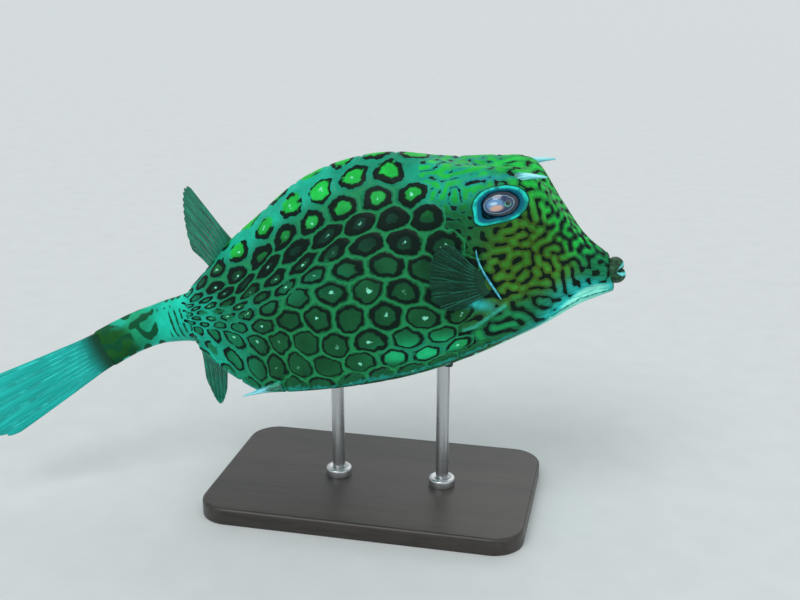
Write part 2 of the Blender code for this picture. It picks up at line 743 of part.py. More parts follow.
def make_tail_fin(finish):
    centre, heading = tail_line(STALK[-1][0] + GAP)
    across, up = tail_axes(heading)
    spread = math.tan(TAIL_FIN_SPREAD)
    root = (centre + up * TAIL_FIN_ROOT, centre - up * TAIL_FIN_ROOT)
    aim = (heading + up * spread, heading - up * spread)
    return ray_fin("tail_fin", TAIL_FIN | {"root": root, "aim": aim, "side": across}, finish)


def make_median_fins(envelope, finish):
    for name, spec in (("dorsal_fin", DORSAL_FIN), ("anal_fin", ANAL_FIN)):
        made = ray_fin(name, spec, finish)
        boolean(made, envelope, "DIFFERENCE")
    stalk = tube("stalk_envelope", stalk_stations(-1.0, GAP), finish, sides=32)
    boolean(bpy.data.objects["anal_fin"], stalk, "DIFFERENCE")
    remove(stalk)


def make_pectorals(envelope, finish):
    for name, side in (("pectoral_fin_right", -1), ("pectoral_fin_left", 1)):
        top, out, back, up = frame_at(*PECTORAL_TOP, side)
        foot = frame_at(*PECTORAL_FOOT, side)[0]
        root = (top - out * PECTORAL_SUNK, foot - out * PECTORAL_SUNK)
        aim = [back * b + up * u + out * o for b, u, o in (PECTORAL_LEAD, PECTORAL_TRAIL)]
        made = ray_fin(name, PECTORAL_FIN | {"root": root, "aim": aim, "side": out}, finish)
        boolean(made, envelope, "DIFFERENCE")


def make_spikes(envelope, finish):
    for side, word in ((-1, "right"), (1, "left")):
        for name, sizes in (("horn_", HORN), ("keel_spine_", KEEL_SPINE)):
            made = spike(name + word, sizes, side, finish)
            boolean(made, envelope, "DIFFERENCE")


def rounded_base(finish):
    """The stand's base: a flat plate with round corners and a softened upper edge."""
    length, width, thick = BASE_SIZE
    outline = []
    for sx, sy, start in ((1, 1, 0), (-1, 1, 90), (-1, -1, 180), (1, -1, 270)):
        for n in range(7):
            a = math.radians(start + 90 * n / 6)
            x = sx * (length / 2 - BASE_CORNER) + BASE_CORNER * math.cos(a)
            y = sy * (width / 2 - BASE_CORNER) + BASE_CORNER * math.sin(a)
            outline.append((x, y))
    mesh = bpy.data.meshes.new("stand_base")
    work = bmesh.new()
    face = work.faces.new([work.verts.new((x * MM, y * MM, 0.0)) for x, y in outline])
    grown = bmesh.ops.extrude_face_region(work, geom=[face])
    top = [v for v in grown["geom"] if isinstance(v, bmesh.types.BMVert)]
    bmesh.ops.translate(work, verts=top, vec=(0, 0, thick * MM))
    rim = [e for e in work.edges if all(v in top for v in e.verts)]
    bmesh.ops.bevel(work, geom=rim, offset=BASE_BEVEL * MM, segments=2, affect="EDGES", profile=0.5)
    bmesh.ops.triangulate(work, faces=work.faces)
    bmesh.ops.recalc_face_normals(work, faces=work.faces)
    work.to_mesh(mesh)
    work.free()
    mesh.materials.append(finish)
    made = bpy.data.objects.new("stand_base", mesh)
    bpy.context.scene.collection.objects.link(made)
    return made


def make_rod(name, x, envelope, finish):
    """An upright rod from the base to the belly, cut to the belly's slope."""
    foot = place(x, 0, 0).x
    low = (BASE_SIZE[2] + GAP) * MM
    high = place(x, 0, ROD_TOP).z
    mesh = bpy.data.meshes.new(name)
    work = bmesh.new()
    matrix = Matrix.Translation((foot, 0, (low + high) / 2))
    bmesh.ops.create_cone(
        work, cap_ends=True, cap_tris=True, segments=16, radius1=ROD_RADIUS * MM,
        radius2=ROD_RADIUS * MM, depth=high - low, matrix=matrix,
    )
    work.to_mesh(mesh)
    work.free()
    mesh.materials.append(finish)
    made = bpy.data.objects.new(name, mesh)
    bpy.context.scene.collection.objects.link(made)
    boolean(made, envelope, "DIFFERENCE")
    return made


def main():
    for old in list(bpy.data.objects):
        bpy.data.objects.remove(old)
    skin = material("skin", (0.05, 0.30, 0.14), 0.45)
    fin = material("fin_web", (0.06, 0.32, 0.22), 0.4)
    horn = material("pale_horn", (0.25, 0.75, 0.72), 0.4)
    lips = material("lips", (0.04, 0.12, 0.06), 0.4)
    eye = material("eye", (0.35, 0.55, 0.65), 0.1)
    board = material("stand_board", (0.02, 0.02, 0.02), 0.35)
    steel = material("stand_steel", (0.6, 0.6, 0.6), 0.3, 1.0)

    envelope = shell_envelope("envelope", GAP)
    make_head(skin)
    shell_block("trunk", HEAD_COLUMNS, COLUMNS, skin)
    make_eyes(eye)
    make_lip("upper_lip", 1, lips)
    make_lip("lower_lip", -1, lips)
    make_spikes(envelope, horn)
    make_tail_stalk(skin)
    make_tail_fin(fin)
    make_median_fins(envelope, fin)
    make_pectorals(envelope, fin)
    rounded_base(board)
    make_rod("stand_rod_front", ROD_X[0], envelope, steel)
    make_rod("stand_rod_rear", ROD_X[1], envelope, steel)
    for made in bpy.data.objects:
        if made.type == "MESH" and made != envelope:
            made.data.shade_smooth()
            made.data.set_sharp_from_angle(angle=math.radians(35))
    remove(envelope)


main()
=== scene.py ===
"""The looks of the life-size honeycomb cowfish on its stand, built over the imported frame.

Like the solids, the fish is drawn in its own frame in millimetres: x runs back from the lips, y to its
left, z up from its keels. place() turns such points into the model's own frame, in metres.
"""

import math

import bpy
import numpy as np
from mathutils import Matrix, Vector


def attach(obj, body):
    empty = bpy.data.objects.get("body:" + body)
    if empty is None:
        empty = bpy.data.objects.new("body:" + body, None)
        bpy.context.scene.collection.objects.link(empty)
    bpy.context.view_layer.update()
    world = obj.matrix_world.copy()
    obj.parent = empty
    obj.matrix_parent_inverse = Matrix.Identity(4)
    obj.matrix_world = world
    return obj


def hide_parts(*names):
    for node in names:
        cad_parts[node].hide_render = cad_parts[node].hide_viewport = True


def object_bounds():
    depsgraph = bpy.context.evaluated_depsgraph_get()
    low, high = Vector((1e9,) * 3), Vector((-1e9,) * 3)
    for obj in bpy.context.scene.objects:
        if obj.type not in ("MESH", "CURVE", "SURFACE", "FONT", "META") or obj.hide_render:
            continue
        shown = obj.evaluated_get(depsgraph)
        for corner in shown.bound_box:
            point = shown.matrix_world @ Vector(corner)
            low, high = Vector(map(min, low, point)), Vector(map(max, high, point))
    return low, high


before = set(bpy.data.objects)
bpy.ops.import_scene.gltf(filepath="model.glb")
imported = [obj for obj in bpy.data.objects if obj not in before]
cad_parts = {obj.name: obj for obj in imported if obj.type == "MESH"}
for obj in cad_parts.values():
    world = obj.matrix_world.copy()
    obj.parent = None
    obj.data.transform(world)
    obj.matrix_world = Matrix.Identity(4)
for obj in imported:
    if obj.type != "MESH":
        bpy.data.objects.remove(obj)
cad_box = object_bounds()


# Skin. A thin, hard skin lies over the bony six-sided plates of the head and trunk and runs on, softer,
# over the tail stalk, all in one piece. Each plate stands up a little, the keels are sharp, the eyes sit
# in raised lids, and the gill slit is a short groove with a pale lip.
MM = 0.001
NOSE_UP = math.radians(13.7)
PIVOT_X, PIVOT_Z, PIVOT_HEIGHT = 110.0, 45.0, 110.0

SECTIONS = np.array((
    # keel x, back x, belly z, keel y, keel z, flank y, brow y, brow z, back z
    (7.5, 7.5, 20.5, 5.5, 22.5, 8.0, 5.0, 34.5, 36.8),
    (20.0, 14.5, 18.0, 13.5, 22.8, 12.5, 7.5, 43.0, 45.5),
    (36.0, 22.5, 12.5, 22.0, 18.5, 17.5, 11.0, 60.0, 61.0),
    (52.0, 32.0, 8.0, 27.5, 15.5, 22.5, 15.0, 79.0, 76.5),
    (66.0, 47.0, 4.5, 31.5, 13.0, 26.0, 16.0, 84.0, 80.5),
    (81.0, 65.0, 2.0, 35.0, 10.8, 28.5, 14.0, 87.0, 88.5),
    (98.0, 86.0, 0.0, 37.5, 9.5, 30.0, 10.5, 91.0, 96.5),
    (118.0, 110.0, -0.5, 38.8, 9.0, 30.0, 9.5, 92.5, 98.0),
    (138.0, 134.0, 0.0, 36.5, 8.5, 28.0, 9.0, 87.5, 93.0),
    (155.0, 156.0, 2.0, 32.0, 8.0, 24.5, 8.0, 76.5, 81.8),
    (168.0, 173.0, 5.5, 27.0, 8.5, 20.0, 7.0, 67.5, 72.6),
    (184.0, 187.0, 15.0, 20.0, 17.5, 15.0, 6.0, 58.0, 62.5),
    (200.0, 200.0, 24.5, 9.0, 27.5, 9.8, 5.0, 50.0, 53.5),
))
KEEL_X, BACK_X, BELLY_Z, KEEL_Y, KEEL_Z, FLANK_Y, BROW_Y, BROW_Z, BACK_Z = range(9)
BELLY_CURVE = 2.2
KEEL_SWELL, KEEL_SPREAD = 0.6, 2.0
CURVE_STEPS = 28
STATIONS, ROW_PARTS = 240, 20

ROWS, KEEL_ROW, BACK_ROW = 28, 4, 14
COLUMNS, HEAD_COLUMNS = 15, 5
PLATE_SIZES = {0: 10.5, 5: 15.0, 12: 15.0, 15: 11.5}
ROW_AT = (0, 5, 7, 9, 11, 13, 15)
ROW_LIES = {
    4: (4, 4, 4, 4, 4, 4, 4),
    5: (5, 4.5, 4.7, 4.85, 5.2, 5.4, 5.4),
    6: (6, 5.1, 5.4, 5.8, 6.8, 7.5, 7.3),
    8: (8, 6.6, 7.7, 8.15, 8.6, 8.9, 8.7),
    10: (10, 8.9, 9.75, 9.6, 9.6, 9.9, 10),
    12: (12, 11.6, 11.6, 11.3, 11.1, 11.1, 11.3),
    13: (13, 12.7, 12.75, 12.6, 12.5, 12.5, 12.7),
    14: (14, 14, 14, 14, 14, 14, 14),
}
ROW_SHIFT = {0: 0.0, 4: 0.3, 6: 0.7, 8: 0.8, 9: 0.65, 10: 0.55, 11: 0.1, 12: -0.1, 13: 0.3, 14: 0.2}
UNEVEN, ALONG_PACE, ACROSS_PACE = 0.07, (1.9, 1.1), (0.7, 2.3)

COLUMN_PARTS, SKIN_ROW_PARTS = 18, 9
PLATE_RISE, KEEL_RISE, GROOVE = 0.62, 0.95, 0.085

EYE_AT, EYE_RADII, EYE_SUNK = (43.4, 70.5), (9.3, 6.9, 6.0), 3.4
LID_RISE, LID_DIP, LID_FLAT, SOCKET_DEEP = 1.5, 0.9, 0.88, 5.0
LID_FOOT, LID_TOP, LID_INNER, SOCKET_FLOOR, PLATES_BY_EYE = 1.34, 1.04, 0.86, 0.70, (1.1, 1.4)
LID_CORNER, LID_CORNER_AT, LID_CORNER_WIDE = 0.3, math.radians(-42), 0.36
SLIT = ((56.6, 54.3), (56.7, 48.4), (54.0, 40.8), (50.5, 31.1))
SLIT_DEEP, SLIT_WIDE, SLIT_RIM, SLIT_RIM_AT, SLIT_RIM_WIDE = 1.3, 0.9, 0.7, 2.2, 1.3
FOLD = ((49.3, 28.7), (63.2, 22.7), (67.8, 22.5))
FOLD_RISE, FOLD_WIDE = 0.8, 1.3
NOSTRIL_AT, NOSTRIL_DEEP, NOSTRIL_WIDE = (31.0, 57.0), 1.6, 1.0
NOSTRIL_RIM, NOSTRIL_RIM_AT, NOSTRIL_RIM_WIDE = 0.5, 1.7, 0.7
OFF_FLANK, GAP_TO_BOX, STEEPEST = 99.0, 0.03, 0.3

STALK = ((0.0, 12.9, 8.6), (8.0, 11.2, 7.4), (22.0, 9.6, 5.6), (36.0, 9.4, 4.2), (49.0, 9.6, 2.9))
STALK_AT, STALK_HIGH, STALK_WIDE = zip(*STALK)
STALK_START, STALK_END = (200.0, 0.0, 39.6), STALK_AT[-1]
STALK_RISE, TAIL_DROP, TAIL_SWING = math.radians(1.0), math.radians(13.0), math.radians(34.0)
TAIL_BEND_FROM, TAIL_STEPS = 4.0, 40
STALK_RINGS, SHELL_RIM, RIM_DRAWN_IN = 50, 4.0, (1.0, 0.86, 0.92)
CAP_BEFORE, CAP_BEYOND, CAP_TALL, CAP_WIDE = 0.6, 1.6, 0.10, 0.75


def place(points):
    """Points of the fish's frame, in millimetres, as points of the model, in metres."""
    points = np.asarray(points, float)
    forward, height = PIVOT_X - points[..., 0], points[..., 2] - PIVOT_Z
    c, s = math.cos(NOSE_UP), math.sin(NOSE_UP)
    world = (forward * c - height * s, points[..., 1], forward * s + height * c + PIVOT_HEIGHT)
    return np.stack(world, axis=-1) * MM


def smooth(low, high, value):
    """0 below low, 1 above high, and an even S between them."""
    share = np.clip((value - low) / (high - low), 0.0, 1.0)
    return share * share * (3 - 2 * share)


def hump(*parts):
    """1 at a place, and less around it. Each part is a value, where it peaks, and how far it reaches."""
    return np.exp(-sum(((value - peak) / reach) ** 2 for value, peak, reach in parts))


def unit(vector):
    """The same direction at length 1."""
    vector = np.asarray(vector, float)
    return vector / np.linalg.norm(vector, axis=-1, keepdims=True)


def full_turn(count):
    """Angles at an even pitch once round."""
    return np.linspace(0.0, 2 * math.pi, count, endpoint=False)


def closed(grid):
    """A grid of lines round the body, with its first line once more at the end."""
    return np.concatenate([grid, grid[:, :1]], axis=1)


step = np.diff(SECTIONS, axis=0)
KNOTS = np.concatenate([[0.0], np.cumsum(np.hypot(
    (step[:, KEEL_X] + step[:, BACK_X]) / 2, (step[:, KEEL_Z] + step[:, BROW_Z]) / 2))])
LENGTH = KNOTS[-1]


def section(s):
    """The cross-section's nine sizes at distance s, on smooth curves through the named ones."""
    last = len(KNOTS) - 1
    i = min(max(int(np.searchsorted(KNOTS, s, side="right")) - 1, 0), last - 1)
    slopes = []
    for k in (i, i + 1):
        before, after = max(k - 1, 0), min(k + 1, last)
        first = (SECTIONS[k] - SECTIONS[before]) / max(KNOTS[k] - KNOTS[before], 1e-9)
        second = (SECTIONS[after] - SECTIONS[k]) / max(KNOTS[after] - KNOTS[k], 1e-9)
        w = (KNOTS[after] - KNOTS[k]) / (KNOTS[after] - KNOTS[before])
        slopes.append(second if k == 0 else first if k == last else first * w + second * (1 - w))
    h = KNOTS[i + 1] - KNOTS[i]
    u = (s - KNOTS[i]) / h
    return (
        SECTIONS[i] * (2 * u**3 - 3 * u**2 + 1) + slopes[0] * h * (u**3 - 2 * u**2 + u)
        + SECTIONS[i + 1] * (3 * u**2 - 2 * u**3) + slopes[1] * h * (u**3 - u**2)
    )


def flank_curve(sizes):
    """Points (y, z) from the keel up the flank, over the brow and to the back's middle."""
    keel = np.array([sizes[KEEL_Y], sizes[KEEL_Z]])
    flank = np.array([sizes[FLANK_Y], (sizes[KEEL_Z] + sizes[BROW_Z]) / 2])
    brow = np.array([sizes[BROW_Y], sizes[BROW_Z]])
    back = np.array([0.0, sizes[BACK_Z]])
    below, beyond = keel + (keel - flank) * KEEL_SWELL + (KEEL_SPREAD, 0.0), brow * (-1, 1)
    run = [below, keel, flank, brow, back, beyond]
    points = []
    for a, b, c, d in zip(run, run[1:], run[2:], run[3:]):
        t0, t1, t2, t3 = np.cumsum([0.0] + [math.dist(p, q) ** 0.5 for p, q in ((a, b), (b, c), (c, d))])
        for t in np.linspace(t1, t2, CURVE_STEPS, endpoint=False):
            ab = a * (t1 - t) / (t1 - t0) + b * (t - t0) / (t1 - t0)
            bc = b * (t2 - t) / (t2 - t1) + c * (t - t1) / (t2 - t1)
            cd = c * (t3 - t) / (t3 - t2) + d * (t - t2) / (t3 - t2)
            abc = ab * (t2 - t) / (t2 - t0) + bc * (t - t0) / (t2 - t0)
            bcd = bc * (t3 - t) / (t3 - t1) + cd * (t - t1) / (t3 - t1)
            points.append(abc * (t2 - t) / (t2 - t1) + bcd * (t - t1) / (t2 - t1))
    return np.array(points + [back])


def shell_table():
    """Points of the shell at many stations and parts of a row, and how far each is from the ridge."""
    rows = np.arange(BACK_ROW * ROW_PARTS + 1) / ROW_PARTS
    table = np.zeros((STATIONS + 1, ROWS * ROW_PARTS + 1, 3))
    for n in range(STATIONS + 1):
        sizes = section(LENGTH * n / STATIONS)
        curve = flank_curve(sizes)
        run = np.concatenate([[0.0], np.cumsum(np.linalg.norm(np.diff(curve, axis=0), axis=1))])
        share = (rows - KEEL_ROW) / (BACK_ROW - KEEL_ROW)
        y = np.interp(share, run / run[-1], curve[:, 0])
        z = np.interp(share, run / run[-1], curve[:, 1])
        under = np.clip(rows / KEEL_ROW, 0.0, 1.0)
        belly = sizes[BELLY_Z] + (sizes[KEEL_Z] - sizes[BELLY_Z]) * under**BELLY_CURVE
        y = np.where(rows <= KEEL_ROW, sizes[KEEL_Y] * under, y)
        z = np.where(rows <= KEEL_ROW, belly, z)
        lean = (z - sizes[KEEL_Z]) / (sizes[BACK_Z] - sizes[KEEL_Z])
        x = sizes[KEEL_X] + (sizes[BACK_X] - sizes[KEEL_X]) * lean
        half = np.stack([x, -y, z], axis=1)
        table[n, : len(rows)] = half
        table[n, len(rows) - 1 :] = (half * (1, -1, 1))[::-1]
    return table


SHELL = shell_table()


def shell(s, row):
    """The shell's surface at distance s and plate row: 0 under the belly, 14 on the back's middle."""
    a = np.clip(np.asarray(s) / LENGTH * STATIONS, 0, STATIONS)
    b = np.asarray(row) % ROWS * ROW_PARTS
    i, j = np.minimum(a.astype(int), STATIONS - 1), np.minimum(b.astype(int), ROWS * ROW_PARTS - 1)
    a, b = (a - i)[..., None], (b - j)[..., None]
    low = SHELL[i, j] * (1 - b) + SHELL[i, j + 1] * b
    return low * (1 - a) + (SHELL[i + 1, j] * (1 - b) + SHELL[i + 1, j + 1] * b) * a


fine = np.linspace(0.0, COLUMNS, 400)
plate_size = np.interp(fine, list(PLATE_SIZES), list(PLATE_SIZES.values()))
COLUMN_AT = np.concatenate([[0.0], np.cumsum((plate_size[1:] + plate_size[:-1]) / 2 * np.diff(fine))])
COLUMN_AT *= LENGTH / COLUMN_AT[-1]


def wander(columns, rows):
    """Where points of the plain plate pattern really lie: distances along the shell, and rows."""
    share = np.clip((columns - HEAD_COLUMNS) / (COLUMNS - HEAD_COLUMNS), 0.0, 1.0)
    trunk = np.clip(np.sin(math.pi * share**1.3), 0.0, 1.0)[:, None]
    height = np.minimum(rows, ROWS - rows)[None, :]
    shift = np.interp(height, list(ROW_SHIFT), list(ROW_SHIFT.values()))
    c = columns[:, None]
    along = trunk * shift + np.sqrt(trunk) * UNEVEN * np.sin(ALONG_PACE[0] * height + ALONG_PACE[1] * c)
    lies = np.array([
        np.interp(height[0], list(ROW_LIES), [np.interp(one, ROW_AT, line) for line in ROW_LIES.values()])
        for one in columns
    ])
    lies += np.where(
        (height > KEEL_ROW) & (height < BACK_ROW),
        np.sqrt(trunk) * UNEVEN * np.sin(ACROSS_PACE[1] * c + ACROSS_PACE[0] * height), 0.0,
    )
    lies = np.where(height < KEEL_ROW, height, lies)
    return np.interp(c + along, fine, COLUMN_AT), np.where(rows[None, :] <= BACK_ROW, lies, ROWS - lies)


def plate_offset(columns, rows):
    """Across and along offsets from the nearest plate's middle, where plates are regular hexagons."""
    tall = math.sqrt(3)
    x, y = columns[:, None] + 0 * rows, rows[None, :] * tall / 2 + 0 * columns[:, None]
    first = (x % 1.0 - 0.5, (y + tall / 2) % tall - tall / 2)
    second = ((x + 0.5) % 1.0 - 0.5, y % tall - tall / 2)
    nearer = np.hypot(*first) < np.hypot(*second)
    return np.where(nearer, first[0], second[0]), np.where(nearer, first[1], second[1])


def flank_frame(x, z, side):
    """A point of the flank with its outward, backward and upward directions."""
    s, row = np.meshgrid(np.linspace(0, LENGTH, 801), np.linspace(KEEL_ROW, BACK_ROW, 401), indexing="ij")
    grid = shell(s, row)
    near = np.unravel_index(np.argmin((grid[..., 0] - x) ** 2 + (grid[..., 2] - z) ** 2), s.shape)
    s, row = s[near], row[near]
    out = unit(np.cross(shell(s + 1, row) - shell(s - 1, row), shell(s, row + 0.12) - shell(s, row - 0.12)))
    back = unit(np.array([1.0, 0.0, 0.0]) - out * out[0])
    up = np.cross(back, out)
    point, turn = grid[near], np.array([1.0, -side, 1.0])
    return point * turn, out * turn, back * turn, up * math.copysign(1.0, up[2]) * turn


def line_distance(x, z, line):
    """Distance of points from a line of straight pieces, all in the flank's own x and z."""
    best = np.full(x.shape, 1e3)
    for (ax, az), (bx, bz) in zip(line, line[1:]):
        t = np.clip(((x - ax) * (bx - ax) + (z - az) * (bz - az)) / math.dist((ax, az), (bx, bz)) ** 2, 0, 1)
        best = np.minimum(best, np.hypot(x - ax - t * (bx - ax), z - az - t * (bz - az)))
    return best


def eye_share(points, side):
    """1 on the eyeball's own outline, less inside it, with the lid's corner drawn out behind."""
    point, out, back, up = EYE_FRAMES[side]
    away = points - point
    a, b = away @ back / EYE_RADII[0], away @ up / (EYE_RADII[1] * LID_FLAT)
    share = np.hypot(a, b) / (1 + LID_CORNER * hump((np.arctan2(b, a), LID_CORNER_AT, LID_CORNER_WIDE)))
    return np.where(np.abs(away @ out) < 14.0, share, 9.0)


def slit_and_fold(points, rows):
    """How far points of the plate rows are from the gill slit, and from the fold behind the mouth."""
    flank = (np.abs(rows - BACK_ROW) < BACK_ROW - KEEL_ROW)[None, :]
    x, z = points[..., 0], points[..., 2]
    return [np.where(flank, line_distance(x, z, line), OFF_FLANK) for line in (SLIT, FOLD)]


EYE_FRAMES = {side: flank_frame(*EYE_AT, side) for side in (-1, 1)}

columns = np.arange(COLUMNS * COLUMN_PARTS + 1) / COLUMN_PARTS
rows = np.arange(ROWS * SKIN_ROW_PARTS) / SKIN_ROW_PARTS
distance, row_lies = wander(columns, rows)
skin = shell(distance, row_lies)
ahead = np.gradient(skin, axis=0)
round_it = np.roll(skin, -1, axis=1) - np.roll(skin, 1, axis=1)
normal = unit(np.cross(ahead, round_it))

across, along = plate_offset(columns, rows)
hexagon = np.maximum(np.abs(across), np.abs(across) / 2 + np.abs(along) * math.sqrt(3) / 2)
off_keel = np.minimum(np.abs(rows - KEEL_ROW), np.abs(rows - (ROWS - KEEL_ROW)))[None, :]
plate_rise = PLATE_RISE + (KEEL_RISE - PLATE_RISE) * np.clip(1 - off_keel, 0, 1)
lift = plate_rise * smooth(0.0, GROOVE, 0.5 - hexagon)

eye_at = np.minimum(eye_share(skin, -1), eye_share(skin, 1))
lift *= smooth(*PLATES_BY_EYE, eye_at)
lift += LID_RISE * smooth(LID_FOOT, LID_TOP, eye_at) - LID_DIP * smooth(LID_TOP, LID_INNER, eye_at)
lift -= SOCKET_DEEP * smooth(LID_INNER, SOCKET_FLOOR, eye_at)
slit, fold = slit_and_fold(skin, rows)
lift += SLIT_RIM * hump((slit, SLIT_RIM_AT, SLIT_RIM_WIDE)) - SLIT_DEEP * hump((slit, 0.0, SLIT_WIDE))
lift += FOLD_RISE * hump((fold, 0.0, FOLD_WIDE))
for side in (-1, 1):
    away = np.linalg.norm(skin - flank_frame(*NOSTRIL_AT, side)[0], axis=-1)
    lift += NOSTRIL_RIM * hump((away, NOSTRIL_RIM_AT, NOSTRIL_RIM_WIDE))
    lift -= NOSTRIL_DEEP * hump((away, 0.0, NOSTRIL_WIDE))

# No plate rises past the top of the solids' own box.
up_in_model = place(skin + normal)[..., 2] - place(skin)[..., 2]
headroom = (cad_box[1][2] - place(skin)[..., 2]) / np.maximum(up_in_model, STEEPEST * MM)
bare = skin
skin = skin + normal * np.minimum(lift, headroom - GAP_TO_BOX)[..., None]

FRONT_RINGS = ((0.985, 0.35), (0.95, 0.7), (0.88, 0.95), (0.76, 1.0), (0.55, 0.8), (0.3, 0.5))
middle = skin[0].mean(axis=0)
front = [middle + (skin[0] - middle) * size - (forward, 0.0, 0.0) for size, forward in FRONT_RINGS][::-1]


def tail_heading(d):
    """Which way the tail stalk runs at distance d, bent down and to the fish's right."""
    share = smooth(TAIL_BEND_FROM, STALK_END, d)
    lift, swing = STALK_RISE * (1 - share) - TAIL_DROP * share, TAIL_SWING * share
    return np.array([math.cos(lift) * math.cos(swing), -math.cos(lift) * math.sin(swing), math.sin(lift)])


def tail_frame(d):
    """Centre of the tail stalk at distance d, with its heading and its across and up directions."""
    point = np.array(STALK_START)
    for n in range(TAIL_STEPS):
        point = point + tail_heading(d * (n + 0.5) / TAIL_STEPS) * d / TAIL_STEPS
    heading = tail_heading(d)
    side = unit(np.cross(heading, (0.0, 0.0, 1.0)))
    return point, heading, side, np.cross(side, heading)


rim = skin[-1]
rim_middle = np.array([rim[:, 0].mean(), 0.0, (rim[:, 2].max() + rim[:, 2].min()) / 2])
angle = np.arctan2(rim[:, 2] - rim_middle[2], -(rim[:, 1] - rim_middle[1]))
stalk_at = np.linspace(0.0, STALK_END + CAP_BEYOND, STALK_RINGS + 1)
stalk = []
for d in stalk_at:
    point, heading, side, up = tail_frame(d)
    past = max(d - STALK_END + CAP_BEFORE, 0.0) / (CAP_BEFORE + CAP_BEYOND)
    high = np.interp(d, STALK_AT, STALK_HIGH) * (1 - CAP_TALL * past**2)
    wide = np.interp(d, STALK_AT, STALK_WIDE) * (1 - CAP_WIDE * past**2)
    oval = point + np.outer(np.cos(angle), side) * wide + np.outer(np.sin(angle), up) * high
    drawn_in = rim_middle + (rim - rim_middle) * RIM_DRAWN_IN + heading * d
    stalk.append(drawn_in + (oval - drawn_in) * smooth(0.0, SHELL_RIM, d))
rings = closed(np.concatenate([np.array(front), skin, np.array(stalk)]))
ring_column = np.concatenate([
    -0.06 * np.arange(len(front), 0, -1), columns, COLUMNS + 0.02 + stalk_at / PLATE_SIZES[COLUMNS],
])

# The dark maze on the head is a pattern of lines that grow and part at an even pitch, in cells near the
# snout and in streaks on the crown. It grows on the surface itself, in a grid of small blocks that the
# surface runs through: each block turns lighter where its near neighbours are lighter than the wider ones.
BLOCK, MAZE_PITCH, MAZE_STEPS, MAZE_SEED, MAZE_UNTIL = 1.0, 4.4, 24, 11, 80.0
NEAR_REACH, WIDE_REACH, SHARPEN, MARGIN, STREAK_STRETCH = 0.18, 0.30, 9.0, 1.5, 2.2
LEAN, CELL_LEAN, LINE_LIGHTEN = 0.18, 0.10, 0.24


def grown_lines(points, pitch, streaks, cells, seed):
    """The pattern's value at points of a surface, in millimetres. High values are light. Streaks draws it
    out along the body, and cells breaks its light lines up, each from 0 to 1 at every point."""
    flat = points.reshape(-1, 3)
    low = flat.min(axis=0) - MARGIN * pitch
    spot = (flat - low) / BLOCK
    size = tuple((spot.max(axis=0) + MARGIN * pitch / BLOCK).astype(int) + 1)
    block = np.ravel_multi_index(np.rint(spot).astype(int).T, size)
    grids = np.zeros((3, math.prod(size)))
    for grid, values in zip(grids, (1.0, streaks, cells)):
        grid[block] = values
    here, drawn, broken = grids.reshape(3, *size)
    pace = [*(np.fft.fftfreq(count, BLOCK) for count in size[:2]), np.fft.rfftfreq(size[2], BLOCK)]
    pace = [part**2 * 2 * math.pi**2 for part in np.meshgrid(*pace, indexing="ij", sparse=True)]
    means = []
    for reach in (NEAR_REACH * pitch, WIDE_REACH * pitch):
        for stretch in (1.0, STREAK_STRETCH):
            spread = np.exp(-(reach**2) * (pace[0] * stretch**2 + pace[1] + pace[2]))
            amount = np.fft.irfftn(np.fft.rfftn(here) * spread, size)
            means.append((spread, np.maximum(amount, 1e-3)))
    value = np.random.default_rng(seed).normal(0.0, 1.0, size) * here
    for _ in range(MAZE_STEPS):
        wave = np.fft.rfftn(value)
        near, near_drawn, wide, wide_drawn = (
            np.fft.irfftn(wave * spread, size) / amount for spread, amount in means
        )
        near += (near_drawn - near) * drawn
        wide += (wide_drawn - wide) * drawn
        value = np.tanh(SHARPEN * (near - wide) - LEAN - CELL_LEAN * broken) * here
    corner = np.floor(spot).astype(int)
    part = spot - corner
    result = np.zeros(len(flat))
    for step in np.ndindex(2, 2, 2):
        share = np.prod(np.where(step, part, 1 - part), axis=1)
        result += share * (near - wide)[tuple((corner + step).T)]
    return (result / result.std()).reshape(points.shape[:-1])


CROWN_FACING, CROWN_FROM = (0.45, 0.65), (24.0, 38.0)
CHEEK_STREAKS, CHEEK_BELOW, CHEEK_FROM, CELLS_GO = 0.45, (62.0, 54.0), (18.0, 30.0), (44.0, 30.0)
RIDGE_FACING, RIDGE_REACH, RIDGE_SHADE_DARK, RIDGE_FROM, RIDGE_UNTIL = 0.5, 0.08, 0.9, (37.0, 42.0), (68.0, 58.0)
level = closed(np.concatenate([np.array(front), bare, np.array(stalk)]))
body_at = np.concatenate([
    -0.5 * np.arange(len(front), 0, -1), distance.mean(axis=1), LENGTH + 1.0 + stalk_at,
])[:, None]
facing_up = closed(np.pad(normal[..., 2], ((len(front), len(stalk)), (0, 0)), mode="edge"))
maze = np.zeros(level.shape[:2])
on_head = body_at[:, 0] < MAZE_UNTIL
streaks = np.maximum(
    smooth(*CROWN_FACING, facing_up) * smooth(*CROWN_FROM, body_at),
    CHEEK_STREAKS * smooth(*CHEEK_BELOW, level[..., 2]) * smooth(*CHEEK_FROM, body_at),
)
cells = smooth(*CELLS_GO, body_at) + 0 * maze
maze[on_head] = LINE_LIGHTEN + grown_lines(
    level[on_head], MAZE_PITCH, streaks[on_head].ravel(), cells[on_head].ravel(), MAZE_SEED,
)
# A dark blue line of painted shade along the ridge over the eye, where the surface turns from the flank to
# the top.
ridge_shade = hump((facing_up, RIDGE_FACING, RIDGE_REACH))
ridge_shade = ridge_shade * smooth(*RIDGE_FROM, body_at) * smooth(*RIDGE_UNTIL, body_at)
maze -= RIDGE_SHADE_DARK * ridge_shade
